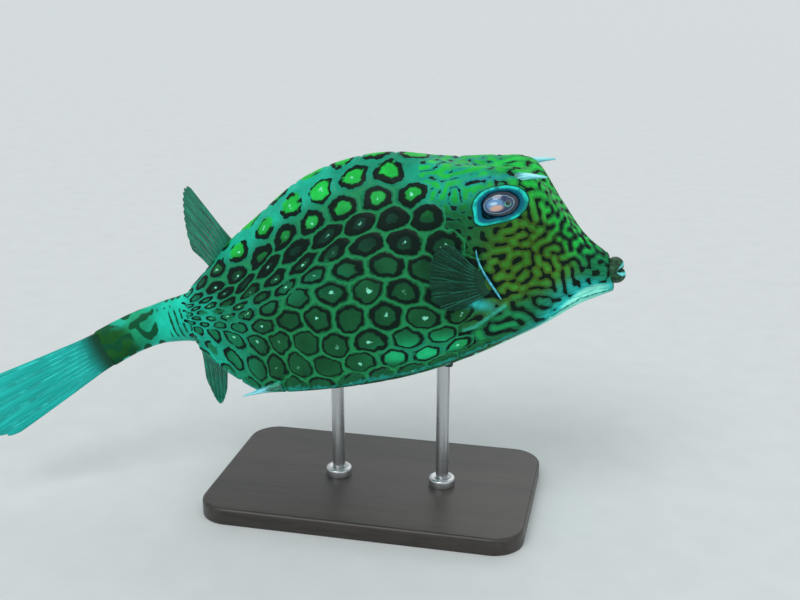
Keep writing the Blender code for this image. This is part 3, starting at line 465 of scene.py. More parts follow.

# The tail stalk's own marks: curved bars near the shell, small spots on its upper side, blotches further
# back, and a dark patch at the root of the tail fin. Along its top near the shell it is also darkened with
# painted shade.
BAR_PITCH, BAR_LEAN, BAR_CURVE, BAR_MORE = 3.3, 2.2, 0.5, 0.05
BAR_FADES, BARS_UNTIL, BARS_BELOW, BARS_ABOVE = (1.2, 1.4, 0.9), (13.0, 16.5), (0.45, 0.75), (-0.55, -0.9)
STALK_TOP_SHADE, CREST, CREST_FROM, CREST_UNTIL = 2.2, (0.90, 0.97), (2.0, 5.0), (19.0, 15.0)
SPOT_PITCH, SPOT_SHIFT, SPOT_UP, SPOT_FLAT = 3.6, 1.6, 0.74, 9.0
SPOT_DARK, SPOT_EDGE, SPOTS_FROM, SPOTS_UNTIL = 1.9, (0.95, 0.35), 11, 21
BLOTCH_PITCH, BLOTCH_SEED, BLOTCH_MORE, BLOTCHES_FROM = 6.4, 16, 0.2, (18.0, 22.0)
PALE_GAP, GAPS_AT = 1.8, ((41.0, 0.55, 3.5, 0.35), (35.0, -0.45, 2.6, 0.35))
MARK_STRENGTH, MARK_LEVEL = 0.6, 0.27
stalk_d = body_at - LENGTH - 1.0
upward = closed(np.sin(angle)[None, :])
bars = stalk_d - BAR_LEAN * upward + BAR_CURVE * np.sin(3 * upward)
bars = np.cos(2 * math.pi * bars / BAR_PITCH) - BAR_MORE
bars += BAR_FADES[0] * smooth(*BARS_UNTIL, stalk_d) + BAR_FADES[1] * smooth(*BARS_BELOW, upward)
bars += BAR_FADES[2] * smooth(*BARS_ABOVE, upward)
# Painted shade along the stalk's top, from near the shell back.
bars -= STALK_TOP_SHADE * smooth(*CREST, upward) * smooth(*CREST_FROM, stalk_d) * smooth(*CREST_UNTIL, stalk_d)
spots = np.hypot((stalk_d + SPOT_SHIFT) % SPOT_PITCH - SPOT_PITCH / 2, (upward - SPOT_UP) * SPOT_FLAT)
spots = 1.0 - SPOT_DARK * smooth(*SPOT_EDGE, spots)
spots = np.where((stalk_d > SPOTS_FROM) & (stalk_d < SPOTS_UNTIL), spots, 1.0)
on_tail = body_at[:, 0] > LENGTH
blotches = np.ones(level.shape[:2])
blotches[on_tail] = grown_lines(level[on_tail], BLOTCH_PITCH, 0.0, 0.0, BLOTCH_SEED) - BLOTCH_MORE
blotches = 1.0 + (blotches - 1.0) * smooth(*BLOTCHES_FROM, stalk_d)
for d, up_at, wide, tall in GAPS_AT:
    blotches += PALE_GAP * hump((stalk_d, d, wide), (upward, up_at, tall))
on_stalk = smooth(-0.5, 0.5, stalk_d)
soft_marks = MARK_STRENGTH * np.minimum(np.minimum(bars, spots), blotches) - MARK_LEVEL
maze = maze * (1 - on_stalk) + soft_marks * on_stalk

# Colours and the shape of the rings by place: each line gives a column and a row of the pattern, how far
# its look reaches along and across, the ground's and the plate centres' colours, where the dark ring
# starts and ends between a plate's middle and its edge, and how broken the ring is.
SHADE, MOSS, OLIVE, LEAF, GRASS = "#0c3428", "#12502e", "#3a5c18", "#105830", "#1cbc46"
SEA, TEAL, AQUA, PALE = "#12744e", "#148c6c", "#18b092", "#48d4c0"
LOOKS = (
    (0.3, 9.0, 0.7, 4.0, SEA, SEA, 0.5, 0.8, 0.0),
    (1.2, 12.0, 1.0, 2.0, LEAF, GRASS, 0.5, 0.8, 0.0),
    (0.7, 5.2, 1.0, 1.3, "#1cc4c4", "#34dcdc", 0.5, 0.8, 0.0),
    (2.9, 8.6, 1.4, 2.0, OLIVE, "#37802a", 0.5, 0.8, 0.0),
    (2.4, 5.6, 1.3, 0.8, LEAF, SEA, 0.5, 0.8, 0.0),
    (3.0, 13.4, 1.4, 1.3, "#1a9640", GRASS, 0.5, 0.8, 0.0),
    # Aqua on the crown behind the eye: partly the skin's own cyan, partly a painted highlight on the top.
    (5.6, 12.6, 0.9, 1.0, AQUA, GRASS, 0.5, 0.8, 0.2),
    (5.2, 9.2, 0.6, 1.6, LEAF, MOSS, 0.56, 0.82, 0.0),
    (7.0, 13.3, 1.3, 0.8, TEAL, GRASS, 0.59, 0.76, 0.5),
    # Aqua along the back's middle: partly the skin's own cyan, partly a painted highlight on the top.
    (10.4, 13.5, 1.9, 0.8, AQUA, GRASS, 0.55, 0.70, 0.85),
    (8.6, 12.2, 2.2, 0.5, SEA, "#22b44e", 0.55, 0.78, 0.0),
    (7.6, 10.7, 2.3, 0.9, LEAF, SHADE, 0.46, 0.86, 0.0),
    (11.4, 11.4, 1.6, 0.9, SEA, SHADE, 0.42, 0.84, 0.0),
    (10.6, 9.8, 1.6, 0.7, SEA, MOSS, 0.52, 0.78, 0.55),
    (7.4, 8.2, 2.0, 1.2, LEAF, MOSS, 0.68, 0.82, 0.0),
    (9.2, 8.6, 1.1, 0.6, SEA, SEA, 0.62, 0.75, 0.55),
    (7.8, 6.3, 2.2, 0.8, LEAF, MOSS, 0.77, 0.85, 0.0),
    (6.3, 5.4, 0.8, 0.6, TEAL, "#1cc07c", 0.68, 0.80, 0.4),
    (3.8, 5.2, 0.8, 0.5, SEA, "#1c9a54", 0.64, 0.80, 0.2),
    (10.0, 5.2, 1.8, 0.7, LEAF, MOSS, 0.79, 0.86, 0.35),
    (8.0, 4.3, 2.8, 0.35, LEAF, "#125434", 0.80, 0.86, 0.75),
    (12.6, 6.3, 0.8, 1.6, TEAL, SEA, 0.62, 0.77, 0.6),
    (12.0, 9.0, 0.8, 0.8, TEAL, LEAF, 0.54, 0.75, 0.7),
    (14.4, 8.0, 0.8, 4.0, AQUA, SEA, 0.50, 0.72, 0.6),
    (13.4, 12.4, 0.8, 1.0, SEA, SHADE, 0.42, 0.80, 0.1),
    # On the tail stalk, the cyan, palest on its upper side, is partly its own colour and partly a painted
    # highlight.
    (16.0, 9.0, 0.9, 6.0, "#1cc8aa", AQUA, 0.5, 0.8, 0.0),
    (17.4, 9.5, 0.5, 3.0, "#1c9466", "#2cd8b0", 0.5, 0.8, 0.0),
    (18.3, 12.0, 0.3, 1.4, AQUA, PALE, 0.5, 0.8, 0.0),
    (18.9, 8.0, 0.5, 3.5, "#1a5a26", "#1a5a26", 0.5, 0.8, 0.0),
)
BELLY_LOOK = (PALE, "#8af0dc", 0.55, 0.72, 0.8)
BELLY_EDGE, BELLY_FROM, LINES_EDGE = (4.15, 3.5), (-0.2, 0.5), (4.3, 3.7)
EDGE_LOWER, LOWER_FROM, EDGE_HIGHER, HIGHER_UNTIL = 0.9, (1.5, 4.0), 1.9, (2.1, 0.4)
BROW_AT, BROW_REACH, BROW_CLEAR = (5.0, 12.6), 1.7, 0.55
NO_LINES, SLIT_SHADE, SLIT_SHADE_AT, SLIT_SHADE_WIDE = 2.5, 1.5, 0.9, 0.7


def linear(colour):
    """An sRGB hex colour as linear red, green and blue."""
    value = np.array([int(colour[n : n + 2], 16) for n in (1, 3, 5)]) / 255
    return np.where(value <= 0.04045, value / 12.92, ((value + 0.055) / 1.055) ** 2.4)


ring_row = np.arange(ROWS * SKIN_ROW_PARTS + 1) / SKIN_ROW_PARTS
height = np.minimum(ring_row, ROWS - ring_row)[None, :]
style = np.zeros((len(rings), len(ring_row), 9))
weight = np.full(style.shape[:2], 1e-6)
for column, row, wide, tall, ground, core, start, end, broken in LOOKS:
    near = hump((ring_column[:, None], column, wide), (height, row, tall))
    look = np.concatenate([linear(ground), linear(core), (start, end, broken)])
    style += near[..., None] * look
    weight += near
style /= weight[..., None]
lower = EDGE_LOWER * smooth(*LOWER_FROM, ring_column) - EDGE_HIGHER * smooth(*HIGHER_UNTIL, ring_column)
under = height + lower[:, None]
belly = smooth(*BELLY_EDGE, under) * smooth(*BELLY_FROM, ring_column)[:, None]
maze = maze + NO_LINES * smooth(*LINES_EDGE, under) * smooth(COLUMNS + 0.5, COLUMNS, ring_column)[:, None]
brow = hump((ring_column[:, None], BROW_AT[0], BROW_REACH), (height, BROW_AT[1], BROW_REACH))
maze = maze + BROW_CLEAR * brow
look = np.concatenate([linear(BELLY_LOOK[0]), linear(BELLY_LOOK[1]), BELLY_LOOK[2:]])
style += (look - style) * belly[..., None]

lid = np.minimum(eye_share(rings, -1), eye_share(rings, 1))
slit, fold = slit_and_fold(rings, ring_row)
x, z = rings[..., 0], rings[..., 2]
PALE_FOLD, PALE_PATCH, RIDGE_SHADE_BLUE = "#34a488", "#38d4d0", "#128ea4"
FOLD_TINT, RIDGE_SHADE_TINT, FOLD_SMOOTH = (1.0, 0.2), 0.8, (1.4, 0.5)
PATCH_AT, PATCH_REACH, PATCH_SLOPE = (61.0, 32.5), (6.0, 2.4), 0.45
level_z = z - PATCH_SLOPE * (x - PATCH_AT[0])
patch = hump((x, PATCH_AT[0], PATCH_REACH[0]), (level_z, PATCH_AT[1], PATCH_REACH[1])) * (slit < OFF_FLANK)
# Over the ridge, the blue tint is painted shade.
for near, colour in (
    (smooth(*FOLD_TINT, fold), PALE_FOLD), (patch, PALE_PATCH), (RIDGE_SHADE_TINT * ridge_shade, RIDGE_SHADE_BLUE),
):
    style[..., :6] += (np.tile(linear(colour), 2) - style[..., :6]) * near[..., None]
    maze = maze + NO_LINES * near * (colour != RIDGE_SHADE_BLUE)
maze = maze - SLIT_SHADE * hump((slit, SLIT_SHADE_AT, SLIT_SHADE_WIDE))
pale = np.clip(smooth(*FOLD_SMOOTH, fold) + patch, 0, 1)


def add_to_scene(name, data):
    """A new object in the scene, made from a mesh, a lamp or a camera."""
    piece = bpy.data.objects.new(name, data)
    bpy.context.scene.collection.objects.link(piece)
    return piece


def new_piece(name, points, parts, material):
    """A smooth mesh object from points, in metres, and arrays of faces, turned so that they face outward."""
    size = sum(
        np.sum(points[faces[:, 0]] * np.cross(points[faces[:, k]], points[faces[:, k + 1]]))
        for faces in parts for k in range(1, faces.shape[1] - 1)
    )
    mesh = bpy.data.meshes.new(name)
    faces = [face[::-1] if size < 0 else face for part in parts for face in part.tolist()]
    mesh.from_pydata(points.tolist(), [], faces)
    mesh.materials.append(material)
    mesh.shade_smooth()
    return add_to_scene(name, mesh)


def set_attribute(mesh, name, values):
    """Gives each point of a mesh a number, or a linear colour, under a name that a material reads."""
    values = np.asarray(values, np.float32)
    if values.ndim == 1:
        mesh.attributes.new(name, "FLOAT", "POINT").data.foreach_set("value", values)
    else:
        values = np.pad(values, ((0, 0), (0, 1)), constant_values=1.0)
        mesh.attributes.new(name, "FLOAT_COLOR", "POINT").data.foreach_set("color", values.ravel())


def set_uv(mesh, name, uv):
    """Gives each corner of a mesh its place on a named UV map."""
    mesh.uv_layers.new(name=name).data.foreach_set("uv", uv.astype(np.float32).ravel())


def corners_of(mesh):
    """The point and the face of each corner of a mesh."""
    points, starts = np.zeros(len(mesh.loops), int), np.zeros(len(mesh.polygons), int)
    mesh.loops.foreach_get("vertex_index", points)
    mesh.polygons.foreach_get("loop_start", starts)
    return points, np.searchsorted(starts, np.arange(len(points)), side="right") - 1


def ringed_piece(name, rings, material, along, turns=1.0):
    """A closed piece from rings of points with a pole at each end. Its UV map, named along_round, runs
    through the values of along from ring to ring, and from 0 to turns round each ring."""
    count, around = rings.shape[:2]
    i, j = (part.ravel() for part in np.meshgrid(np.arange(count - 1), np.arange(around), indexing="ij"))
    k, turn = (j + 1) % around, np.arange(around)
    first, last = 0 * turn + count * around, (count - 1) * around
    parts = [
        np.stack([i * around + j, i * around + k, (i + 1) * around + k, (i + 1) * around + j], axis=1),
        np.stack([first, (turn + 1) % around, turn], axis=1),
        np.stack([first + 1, last + turn, last + (turn + 1) % around], axis=1),
    ]
    points = np.concatenate([rings.reshape(-1, 3), rings[:1].mean(axis=1), rings[-1:].mean(axis=1)])
    piece = new_piece(name, points, parts, material)
    at, face = corners_of(piece.data)
    on_ring = np.where(at == count * around, 0, np.minimum(at // around, count - 1))
    on_round = at % around
    crosses = np.zeros(len(piece.data.polygons), bool)
    np.logical_or.at(crosses, face, on_round == around - 1)
    uv = np.stack([np.asarray(along)[on_ring], on_round * turns / around], axis=1)
    uv[(on_round == 0) & crosses[face], 1] = turns
    set_uv(piece.data, "along_round", uv)
    return piece


def feed(tree, node, feeds):
    """Feeds a node's sockets with plain values, sRGB hex colours, outputs, or other nodes' first outputs."""
    for socket, value in feeds.items():
        if isinstance(value, str) and value.startswith("#"):
            value = (*linear(value), 1.0)
        if isinstance(value, bpy.types.Node):
            value = next(out for out in value.outputs if out.enabled)
        if isinstance(value, bpy.types.NodeSocket):
            tree.links.new(value, node.inputs[socket])
        else:
            node.inputs[socket].default_value = value


USUAL_SETTINGS = {"MapRange": {"interpolation_type": "SMOOTHSTEP"}, "Mix": {"data_type": "RGBA"}}


def add_node(tree, kind, feeds=None, **settings):
    """Adds a node with its settings and feeds. A shader node's kind goes without the word ShaderNode. Map
    ranges run in an even S, and mixes are of colours, unless the settings say otherwise."""
    node = tree.nodes.new(kind if "Node" in kind else "ShaderNode" + kind)
    for name, value in {**USUAL_SETTINGS.get(kind, {}), **settings}.items():
        setattr(node, name, value)
    feed(tree, node, feeds or {})
    return node


def new_material(name, roughness=0.5, **sockets):
    """A Principled material, its node tree and its shader. Sockets have _ for a space in their names."""
    material = bpy.data.materials.new(name)
    material.use_nodes = True
    shader = material.node_tree.nodes["Principled BSDF"]
    own = {socket.replace("_", " "): value for socket, value in sockets.items()}
    feed(material.node_tree, shader, {"Roughness": roughness, **own})
    return material, material.node_tree, shader


# Boxfish skin: hard, wet and lacquered, with a fine grain of bony points about a millimetre apart. The
# rings are drawn from the plate pattern carried in the UV map, so they stay sharp at any distance.
# The keel colour is a painted highlight along each keel's edge.
SKIN_LINE, KEEL_EDGE_HIGHLIGHT, SKIN_LID, SKIN_LID_EDGE, SKIN_DOT, NETWORK = (
    "#061c15", "#1e9080", "#22dcca", "#06222c", "#8af0cc", "#229058"
)
SKIN_LID_INNER, SKIN_LID_SHADE, STALK_MARK, TUBERCLE_MM = "#0a647c", "#159484", "#0c5434", 1.1
WOBBLE_MM, RAGGED_MM, GAP_MM, MOTTLE_MM, SPECK_MM, LID_MOTTLE_MM = 5.88, 2.38, 6.67, 11.1, 1.43, 4.35
ROW_TALL = math.sqrt(3) / 2
hard_skin, tree, shader = new_material("wet_boxfish_skin", 0.48, Specular_IOR_Level=0.08, Coat_Weight=0.03,
                                       Coat_Roughness=0.15)
at = add_node(tree, "TexCoord").outputs["Object"]
pattern = add_node(tree, "UVMap", uv_map="along_round")
carried = {
    name: add_node(tree, "Attribute", attribute_name=name).outputs["Fac"]
    for name in ("maze", "lid", "pale", "ring_start", "ring_end", "broken")
}

# How far each point is from its nearest plate's middle: between a six-sided and a round measure, and
# made a little uneven.
wobble = add_node(tree, "TexNoise", {"Vector": at, "Scale": 1000.0 / WOBBLE_MM, "Detail": 2.0})
wobble = add_node(tree, "VectorMath", {0: wobble.outputs["Color"], 1: (0.5, 0.5, 0.5)},
                  operation="SUBTRACT")
wobble = add_node(tree, "VectorMath", {0: wobble, "Scale": 0.3}, operation="SCALE")
plain = add_node(tree, "VectorMath", {0: pattern, 1: (1.0, ROW_TALL, 0.0)}, operation="MULTIPLY")
spot = add_node(tree, "VectorMath", {0: plain, 1: wobble})
spot = add_node(tree, "VectorMath", {0: spot, 1: (1.0, 1.0, 0.0)}, operation="MULTIPLY")
half = (0.5, ROW_TALL, 1.0)
to_even = add_node(tree, "VectorMath", {0: spot, 1: (0.5, 0.0, 0.0)}, operation="SUBTRACT")
to_even = add_node(tree, "VectorMath", {0: to_even, 1: half, 2: tuple(-v for v in half)},
                   operation="WRAP")
to_odd = add_node(tree, "VectorMath", {0: spot, 1: (0.0, ROW_TALL, 0.0)}, operation="SUBTRACT")
to_odd = add_node(tree, "VectorMath", {0: to_odd, 1: half, 2: tuple(-v for v in half)}, operation="WRAP")
even_far = add_node(tree, "VectorMath", {0: to_even}, operation="LENGTH")
odd_far = add_node(tree, "VectorMath", {0: to_odd}, operation="LENGTH")
odd_nearer = add_node(tree, "Math", {0: odd_far, 1: even_far}, operation="LESS_THAN")
offset = add_node(tree, "Mix", {"Factor": odd_nearer, 4: to_even, 5: to_odd}, data_type="VECTOR")
centre = add_node(tree, "VectorMath", {0: spot, 1: offset}, operation="SUBTRACT")
size = add_node(tree, "VectorMath", {0: offset}, operation="ABSOLUTE")
slant = add_node(tree, "VectorMath", {0: size, 1: (0.5, ROW_TALL, 0.0)}, operation="DOT_PRODUCT")
size = add_node(tree, "SeparateXYZ", {0: size})
six_sided = add_node(tree, "Math", {0: size.outputs["X"], 1: slant}, operation="MAXIMUM")
rounded = add_node(tree, "VectorMath", {0: offset}, operation="LENGTH")
far = add_node(tree, "Math", {0: rounded, 1: 0.95}, operation="MULTIPLY")
far = add_node(tree, "Math", {0: six_sided, 1: 1.05, 2: far}, operation="MULTIPLY_ADD")

# Each plate's dark ring, with a ragged edge, a width that differs from plate to plate, and gaps.
whim = add_node(tree, "VectorMath", {0: centre, 1: (0.25, 0.25, 0.25)}, operation="SNAP")
whim = add_node(tree, "TexWhiteNoise", {"Vector": whim})
whim = add_node(tree, "SeparateColor", {0: whim.outputs["Color"]})
ragged = add_node(tree, "TexNoise", {"Vector": at, "Scale": 1000.0 / RAGGED_MM, "Detail": 3.0})
true_far = far
far = add_node(tree, "Math", {0: ragged, 1: 0.16, 2: far}, operation="MULTIPLY_ADD")
far = add_node(tree, "Math", {0: far, 1: 0.08}, operation="SUBTRACT")
ring_start = add_node(tree, "Math", {0: whim.outputs["Red"], 1: 0.14, 2: carried["ring_start"]},
                      operation="MULTIPLY_ADD")
ring_start = add_node(tree, "Math", {0: ring_start, 1: 0.07}, operation="SUBTRACT")
ring_end = carried["ring_end"]
soft_start = add_node(tree, "Math", {0: ring_start, 1: 0.14}, operation="SUBTRACT")
soft_end = add_node(tree, "Math", {0: ring_end, 1: 0.05}, operation="ADD")
past_start = add_node(tree, "MapRange", {"Value": far, "From Min": soft_start, "From Max": ring_start})
past_end = add_node(tree, "MapRange", {"Value": far, "From Min": ring_end, "From Max": soft_end})
ring = add_node(tree, "Math", {0: past_start, 1: past_end}, operation="SUBTRACT")
gaps = add_node(tree, "TexNoise", {"Vector": at, "Scale": 1000.0 / GAP_MM, "Detail": 1.0})
broken = add_node(tree, "MapRange", {"Value": carried["broken"], "To Min": 0.18, "To Max": 0.6},
                  interpolation_type="LINEAR")
whole = add_node(tree, "Math", {0: gaps, 1: broken}, operation="SUBTRACT")
whole = add_node(tree, "MapRange", {"Value": whole, "From Min": -0.03, "From Max": 0.03})
ring = add_node(tree, "Math", {0: ring, 1: whole}, operation="MULTIPLY")

# Plates have rings on the trunk, from a slanting border behind the eye to the end of the shell.
place_of = add_node(tree, "SeparateXYZ", {0: centre})
up_flank = add_node(tree, "Math", {0: place_of.outputs["Y"], 1: BACK_ROW * ROW_TALL}, operation="SUBTRACT")
up_flank = add_node(tree, "Math", {0: up_flank}, operation="ABSOLUTE")
border = add_node(tree, "MapRange", {"Value": up_flank, "From Min": 1.4, "From Max": 3.2, "To Min": 6.0,
                                     "To Max": 4.75}, interpolation_type="LINEAR")
on_trunk = add_node(tree, "Math", {0: place_of.outputs["X"], 1: border}, operation="GREATER_THAN")
on_shell = add_node(tree, "Math", {0: place_of.outputs["X"], 1: COLUMNS + 0.05}, operation="LESS_THAN")
on_trunk = add_node(tree, "Math", {0: on_trunk, 1: on_shell}, operation="MULTIPLY")
not_pale = add_node(tree, "Math", {0: 1.0, 1: carried["pale"]}, operation="SUBTRACT")
ring = add_node(tree, "Math", {0: ring, 1: not_pale}, operation="MULTIPLY")

# The maze's lines on the head and the stalk, and the lighter middles between them.
maze_value = add_node(tree, "Math", {0: ragged, 1: 0.9, 2: carried["maze"]}, operation="MULTIPLY_ADD")
maze_line = add_node(tree, "MapRange", {"Value": maze_value, "From Min": 0.12, "From Max": -0.22})
maze_core = add_node(tree, "MapRange", {"Value": maze_value, "From Min": 0.7, "From Max": 1.9})
line = add_node(tree, "Mix", {"Factor": on_trunk, 2: maze_line, 3: ring}, data_type="FLOAT")
plate_core = add_node(tree, "MapRange", {"Value": far, "From Min": ring_end, "From Max": ring_start})
inside = add_node(tree, "Mix", {"Factor": on_trunk, 2: maze_core, 3: plate_core}, data_type="FLOAT")

# Colour: the ground and the plates' cores, mottled, then the pale network between plates, the pale dot in
# some plates' middles, and the dark lines.
ground = add_node(tree, "Attribute", attribute_name="ground").outputs["Color"]
core = add_node(tree, "Attribute", attribute_name="core").outputs["Color"]
colour = add_node(tree, "Mix", {"Factor": inside, 6: ground, 7: core})
mottle = add_node(tree, "TexNoise", {"Vector": at, "Scale": 1000.0 / MOTTLE_MM, "Detail": 4.0,
                                     "Roughness": 0.6})
mottle = add_node(tree, "MapRange", {"Value": mottle, "From Min": 0.3, "From Max": 0.7, "To Min": 0.72,
                                     "To Max": 1.28}, interpolation_type="LINEAR")
mottle = add_node(tree, "CombineColor", {0: mottle, 1: mottle, 2: mottle})
colour = add_node(tree, "Mix", {"Factor": 1.0, 6: colour, 7: mottle}, blend_type="MULTIPLY")
network = add_node(tree, "MapRange", {"Value": true_far, "From Min": 0.89, "From Max": 0.99,
                                      "To Max": 0.75})
network = add_node(tree, "Math", {0: network, 1: on_trunk}, operation="MULTIPLY")
colour = add_node(tree, "Mix", {"Factor": network, 6: colour, 7: NETWORK}, blend_type="LIGHTEN")
specks = add_node(tree, "TexNoise", {"Vector": at, "Scale": 1000.0 / SPECK_MM, "Detail": 2.0})
dot = add_node(tree, "Math", {0: specks, 1: 0.5, 2: far}, operation="MULTIPLY_ADD")
dot = add_node(tree, "MapRange", {"Value": dot, "From Min": 0.385, "From Max": 0.28})
some = add_node(tree, "MapRange", {"Value": whim.outputs["Green"], "From Min": 0.4, "From Max": 0.7},
                interpolation_type="LINEAR")
dot = add_node(tree, "Math", {0: dot, 1: some}, operation="MULTIPLY")
dot = add_node(tree, "Math", {0: dot, 1: on_trunk}, operation="MULTIPLY")
colour = add_node(tree, "Mix", {"Factor": dot, 6: colour, 7: SKIN_DOT})
line_shade = add_node(tree, "Mix", {"Factor": on_shell, 6: STALK_MARK, 7: SKIN_LINE})
colour = add_node(tree, "Mix", {"Factor": line, 6: colour, 7: line_shade})

# The pale line along each keel, a painted highlight where the keel's edge catches the light, and the lids: a
# dark edge, a mottled pale ring, a blue inner rim, and dark skin where it meets the eyeball.
row_here = add_node(tree, "SeparateXYZ", {0: pattern}).outputs["Y"]
off_keel = add_node(tree, "Math", {0: row_here, 1: float(BACK_ROW)}, operation="SUBTRACT")
off_keel = add_node(tree, "Math", {0: off_keel}, operation="ABSOLUTE")
off_keel = add_node(tree, "Math", {0: off_keel, 1: float(BACK_ROW - KEEL_ROW)}, operation="SUBTRACT")
off_keel = add_node(tree, "Math", {0: off_keel}, operation="ABSOLUTE")
keel_highlight = add_node(tree, "Math", {0: ragged, 1: 0.3, 2: off_keel}, operation="MULTIPLY_ADD")
keel_highlight = add_node(tree, "MapRange", {"Value": keel_highlight, "From Min": 0.27, "From Max": 0.16})
keel_highlight = add_node(tree, "Math", {0: keel_highlight, 1: on_shell}, operation="MULTIPLY")
colour = add_node(tree, "Mix", {"Factor": keel_highlight, 6: colour, 7: KEEL_EDGE_HIGHLIGHT})
lid_at = add_node(tree, "Math", {0: gaps, 1: 0.16, 2: carried["lid"]}, operation="MULTIPLY_ADD")
lid_at = add_node(tree, "Math", {0: lid_at, 1: 0.08}, operation="SUBTRACT")
lid_shade = add_node(tree, "TexNoise", {"Vector": at, "Scale": 1000.0 / LID_MOTTLE_MM, "Detail": 2.0})
lid_shade = add_node(tree, "MapRange", {"Value": lid_shade, "From Min": 0.4, "From Max": 0.62})
lid_shade = add_node(tree, "Mix", {"Factor": lid_shade, 6: SKIN_LID, 7: SKIN_LID_SHADE})
for outer, inner, shade in (
    (1.33, 1.25, SKIN_LID_EDGE), (1.26, 1.21, lid_shade), (1.16, 1.0, SKIN_LID_INNER),
    (0.90, 0.84, SKIN_LID_EDGE),
):
    share = add_node(tree, "MapRange", {"Value": lid_at, "From Min": outer, "From Max": inner})
    colour = add_node(tree, "Mix", {"Factor": share, 6: colour, 7: shade})
points = add_node(tree, "TexVoronoi", {"Vector": at, "Scale": 1000.0 / TUBERCLE_MM}, feature="SMOOTH_F1")
grain = add_node(tree, "Math", {0: 1.0, 1: points}, operation="SUBTRACT")
grain = add_node(tree, "Bump", {"Height": grain, "Strength": 0.25, "Distance": 0.0003})
feed(tree, shader, {"Base Color": colour, "Normal": grain})

body_skin = ringed_piece("body_skin", place(rings[:, :-1]), hard_skin, ring_column, ROWS)
for name, values in (
    ("maze", maze), ("lid", np.minimum(lid, 3.0)), ("pale", pale),
    ("ring_start", style[..., 6]), ("ring_end", style[..., 7]), ("broken", style[..., 8]),
    ("ground", style[..., :3]), ("core", style[..., 3:6]),
):
    values = values[:, :-1].reshape(-1, *values.shape[2:])
    set_attribute(body_skin.data, name, np.concatenate([values, values[:1], values[-1:]]))
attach(body_skin, "root")
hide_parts("head", "trunk", "tail_stalk")


# Gill openings. A slit in front of each pectoral fin, edged by a thin, soft lip of pale blue skin that lies
# along the groove. It is grown from the skin, with nothing between them.
GILL_LIP_RADIUS, GILL_LIP_RINGS, GILL_LIP_ROUND, GILL_LIP_KNOTS, GILL_LIP_PROUD = 0.62, 60, 20, 7, 0.15

# Gill membrane: thin wet skin over fine vessels, so the eye gets a soft, pale blue, faintly veined line.
VEIN_MM = 2.0
gill_lip, tree, shader = new_material("soft_gill_membrane", 0.35, Coat_Weight=0.3, Coat_Roughness=0.2)
at = add_node(tree, "TexCoord").outputs["Object"]
veins = add_node(tree, "TexNoise", {"Vector": at, "Scale": 1000.0 / VEIN_MM, "Detail": 3.0,
                                    "Roughness": 0.6})
veins = add_node(tree, "MapRange", {"Value": veins, "From Min": 0.38, "From Max": 0.62})
colour = add_node(tree, "Mix", {"Factor": veins, 6: "#2696b4", 7: "#58d0e0"})
folds = add_node(tree, "Bump", {"Height": veins, "Strength": 0.3, "Distance": 0.0002})
feed(tree, shader, {"Base Color": colour, "Normal": folds})

for side, word in ((-1, "right"), (1, "left")):
    knots = np.linspace(0, 1, GILL_LIP_KNOTS)
    x, z = (np.interp(knots * (len(SLIT) - 1), range(len(SLIT)), part) for part in zip(*SLIT))
    point, out = np.array([flank_frame(a, b, side)[:2] for a, b in zip(x, z)]).transpose(1, 2, 0)
    u = np.linspace(0.0, 1.0, GILL_LIP_RINGS)
    line = [np.polyval(np.polyfit(knots, part, 4), u) for part in point + GILL_LIP_PROUD * out]
    line = np.stack(line, axis=1)
    out = unit(np.stack([np.interp(u, knots, part) for part in out], axis=1))
    heading = unit(np.gradient(line, axis=0))
    across = unit(np.cross(heading, out))
    out = np.cross(across, heading)
    r = GILL_LIP_RADIUS * np.sqrt(np.clip(1 - (2 * u - 1) ** 4, 0.01, 1)) * (0.6 + 0.4 * u)
    turn = full_turn(GILL_LIP_ROUND)
    lip = line[:, None] + (r[:, None] * np.cos(turn))[..., None] * across[:, None]
    lip = lip + (r[:, None] * 0.8 * np.sin(turn))[..., None] * out[:, None]
    piece = ringed_piece("gill_lip_" + word, place(lip), gill_lip, u)
    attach(piece, "root")


# Eyes. Glass-clear, domed balls that sit loose in their lids. Behind the dome are a dark blue iris, a fine
# pale line round the pupil, and a large lens with a painted reflection of the light on it in milky blue, pink
# and white, and a small painted glint round a dark spot.
EYE_RINGS, EYE_ROUND, EYE_POLE, EYE_GROUND = 36, 72, 0.03, "#0c7a80"
EYE_MARKS = (
    ((0.02, 0.00), (0.92, 0.84), 0.20, "#06182e"),
    ((0.06, 0.00), (0.69, 0.55), 0.06, "#6a98ac"),
    ((0.06, 0.00), (0.65, 0.51), 0.06, "#0b2a52"),
    # The next three are a painted reflection of the light in the lens: milky blue, pink below, white in the
    # middle.
    ((0.24, 0.03), (0.38, 0.37), 0.55, "#5a90c0"),
    ((0.20, -0.19), (0.28, 0.17), 0.90, "#d4a892"),
    ((0.28, 0.10), (0.16, 0.09), 0.90, "#b4d8ee"),
    # A painted glint round the dark spot.
    ((-0.32, -0.06), (0.15, 0.16), 0.80, "#4cac98"),
    ((-0.34, -0.02), (0.11, 0.13), 0.40, "#03060a"),
)

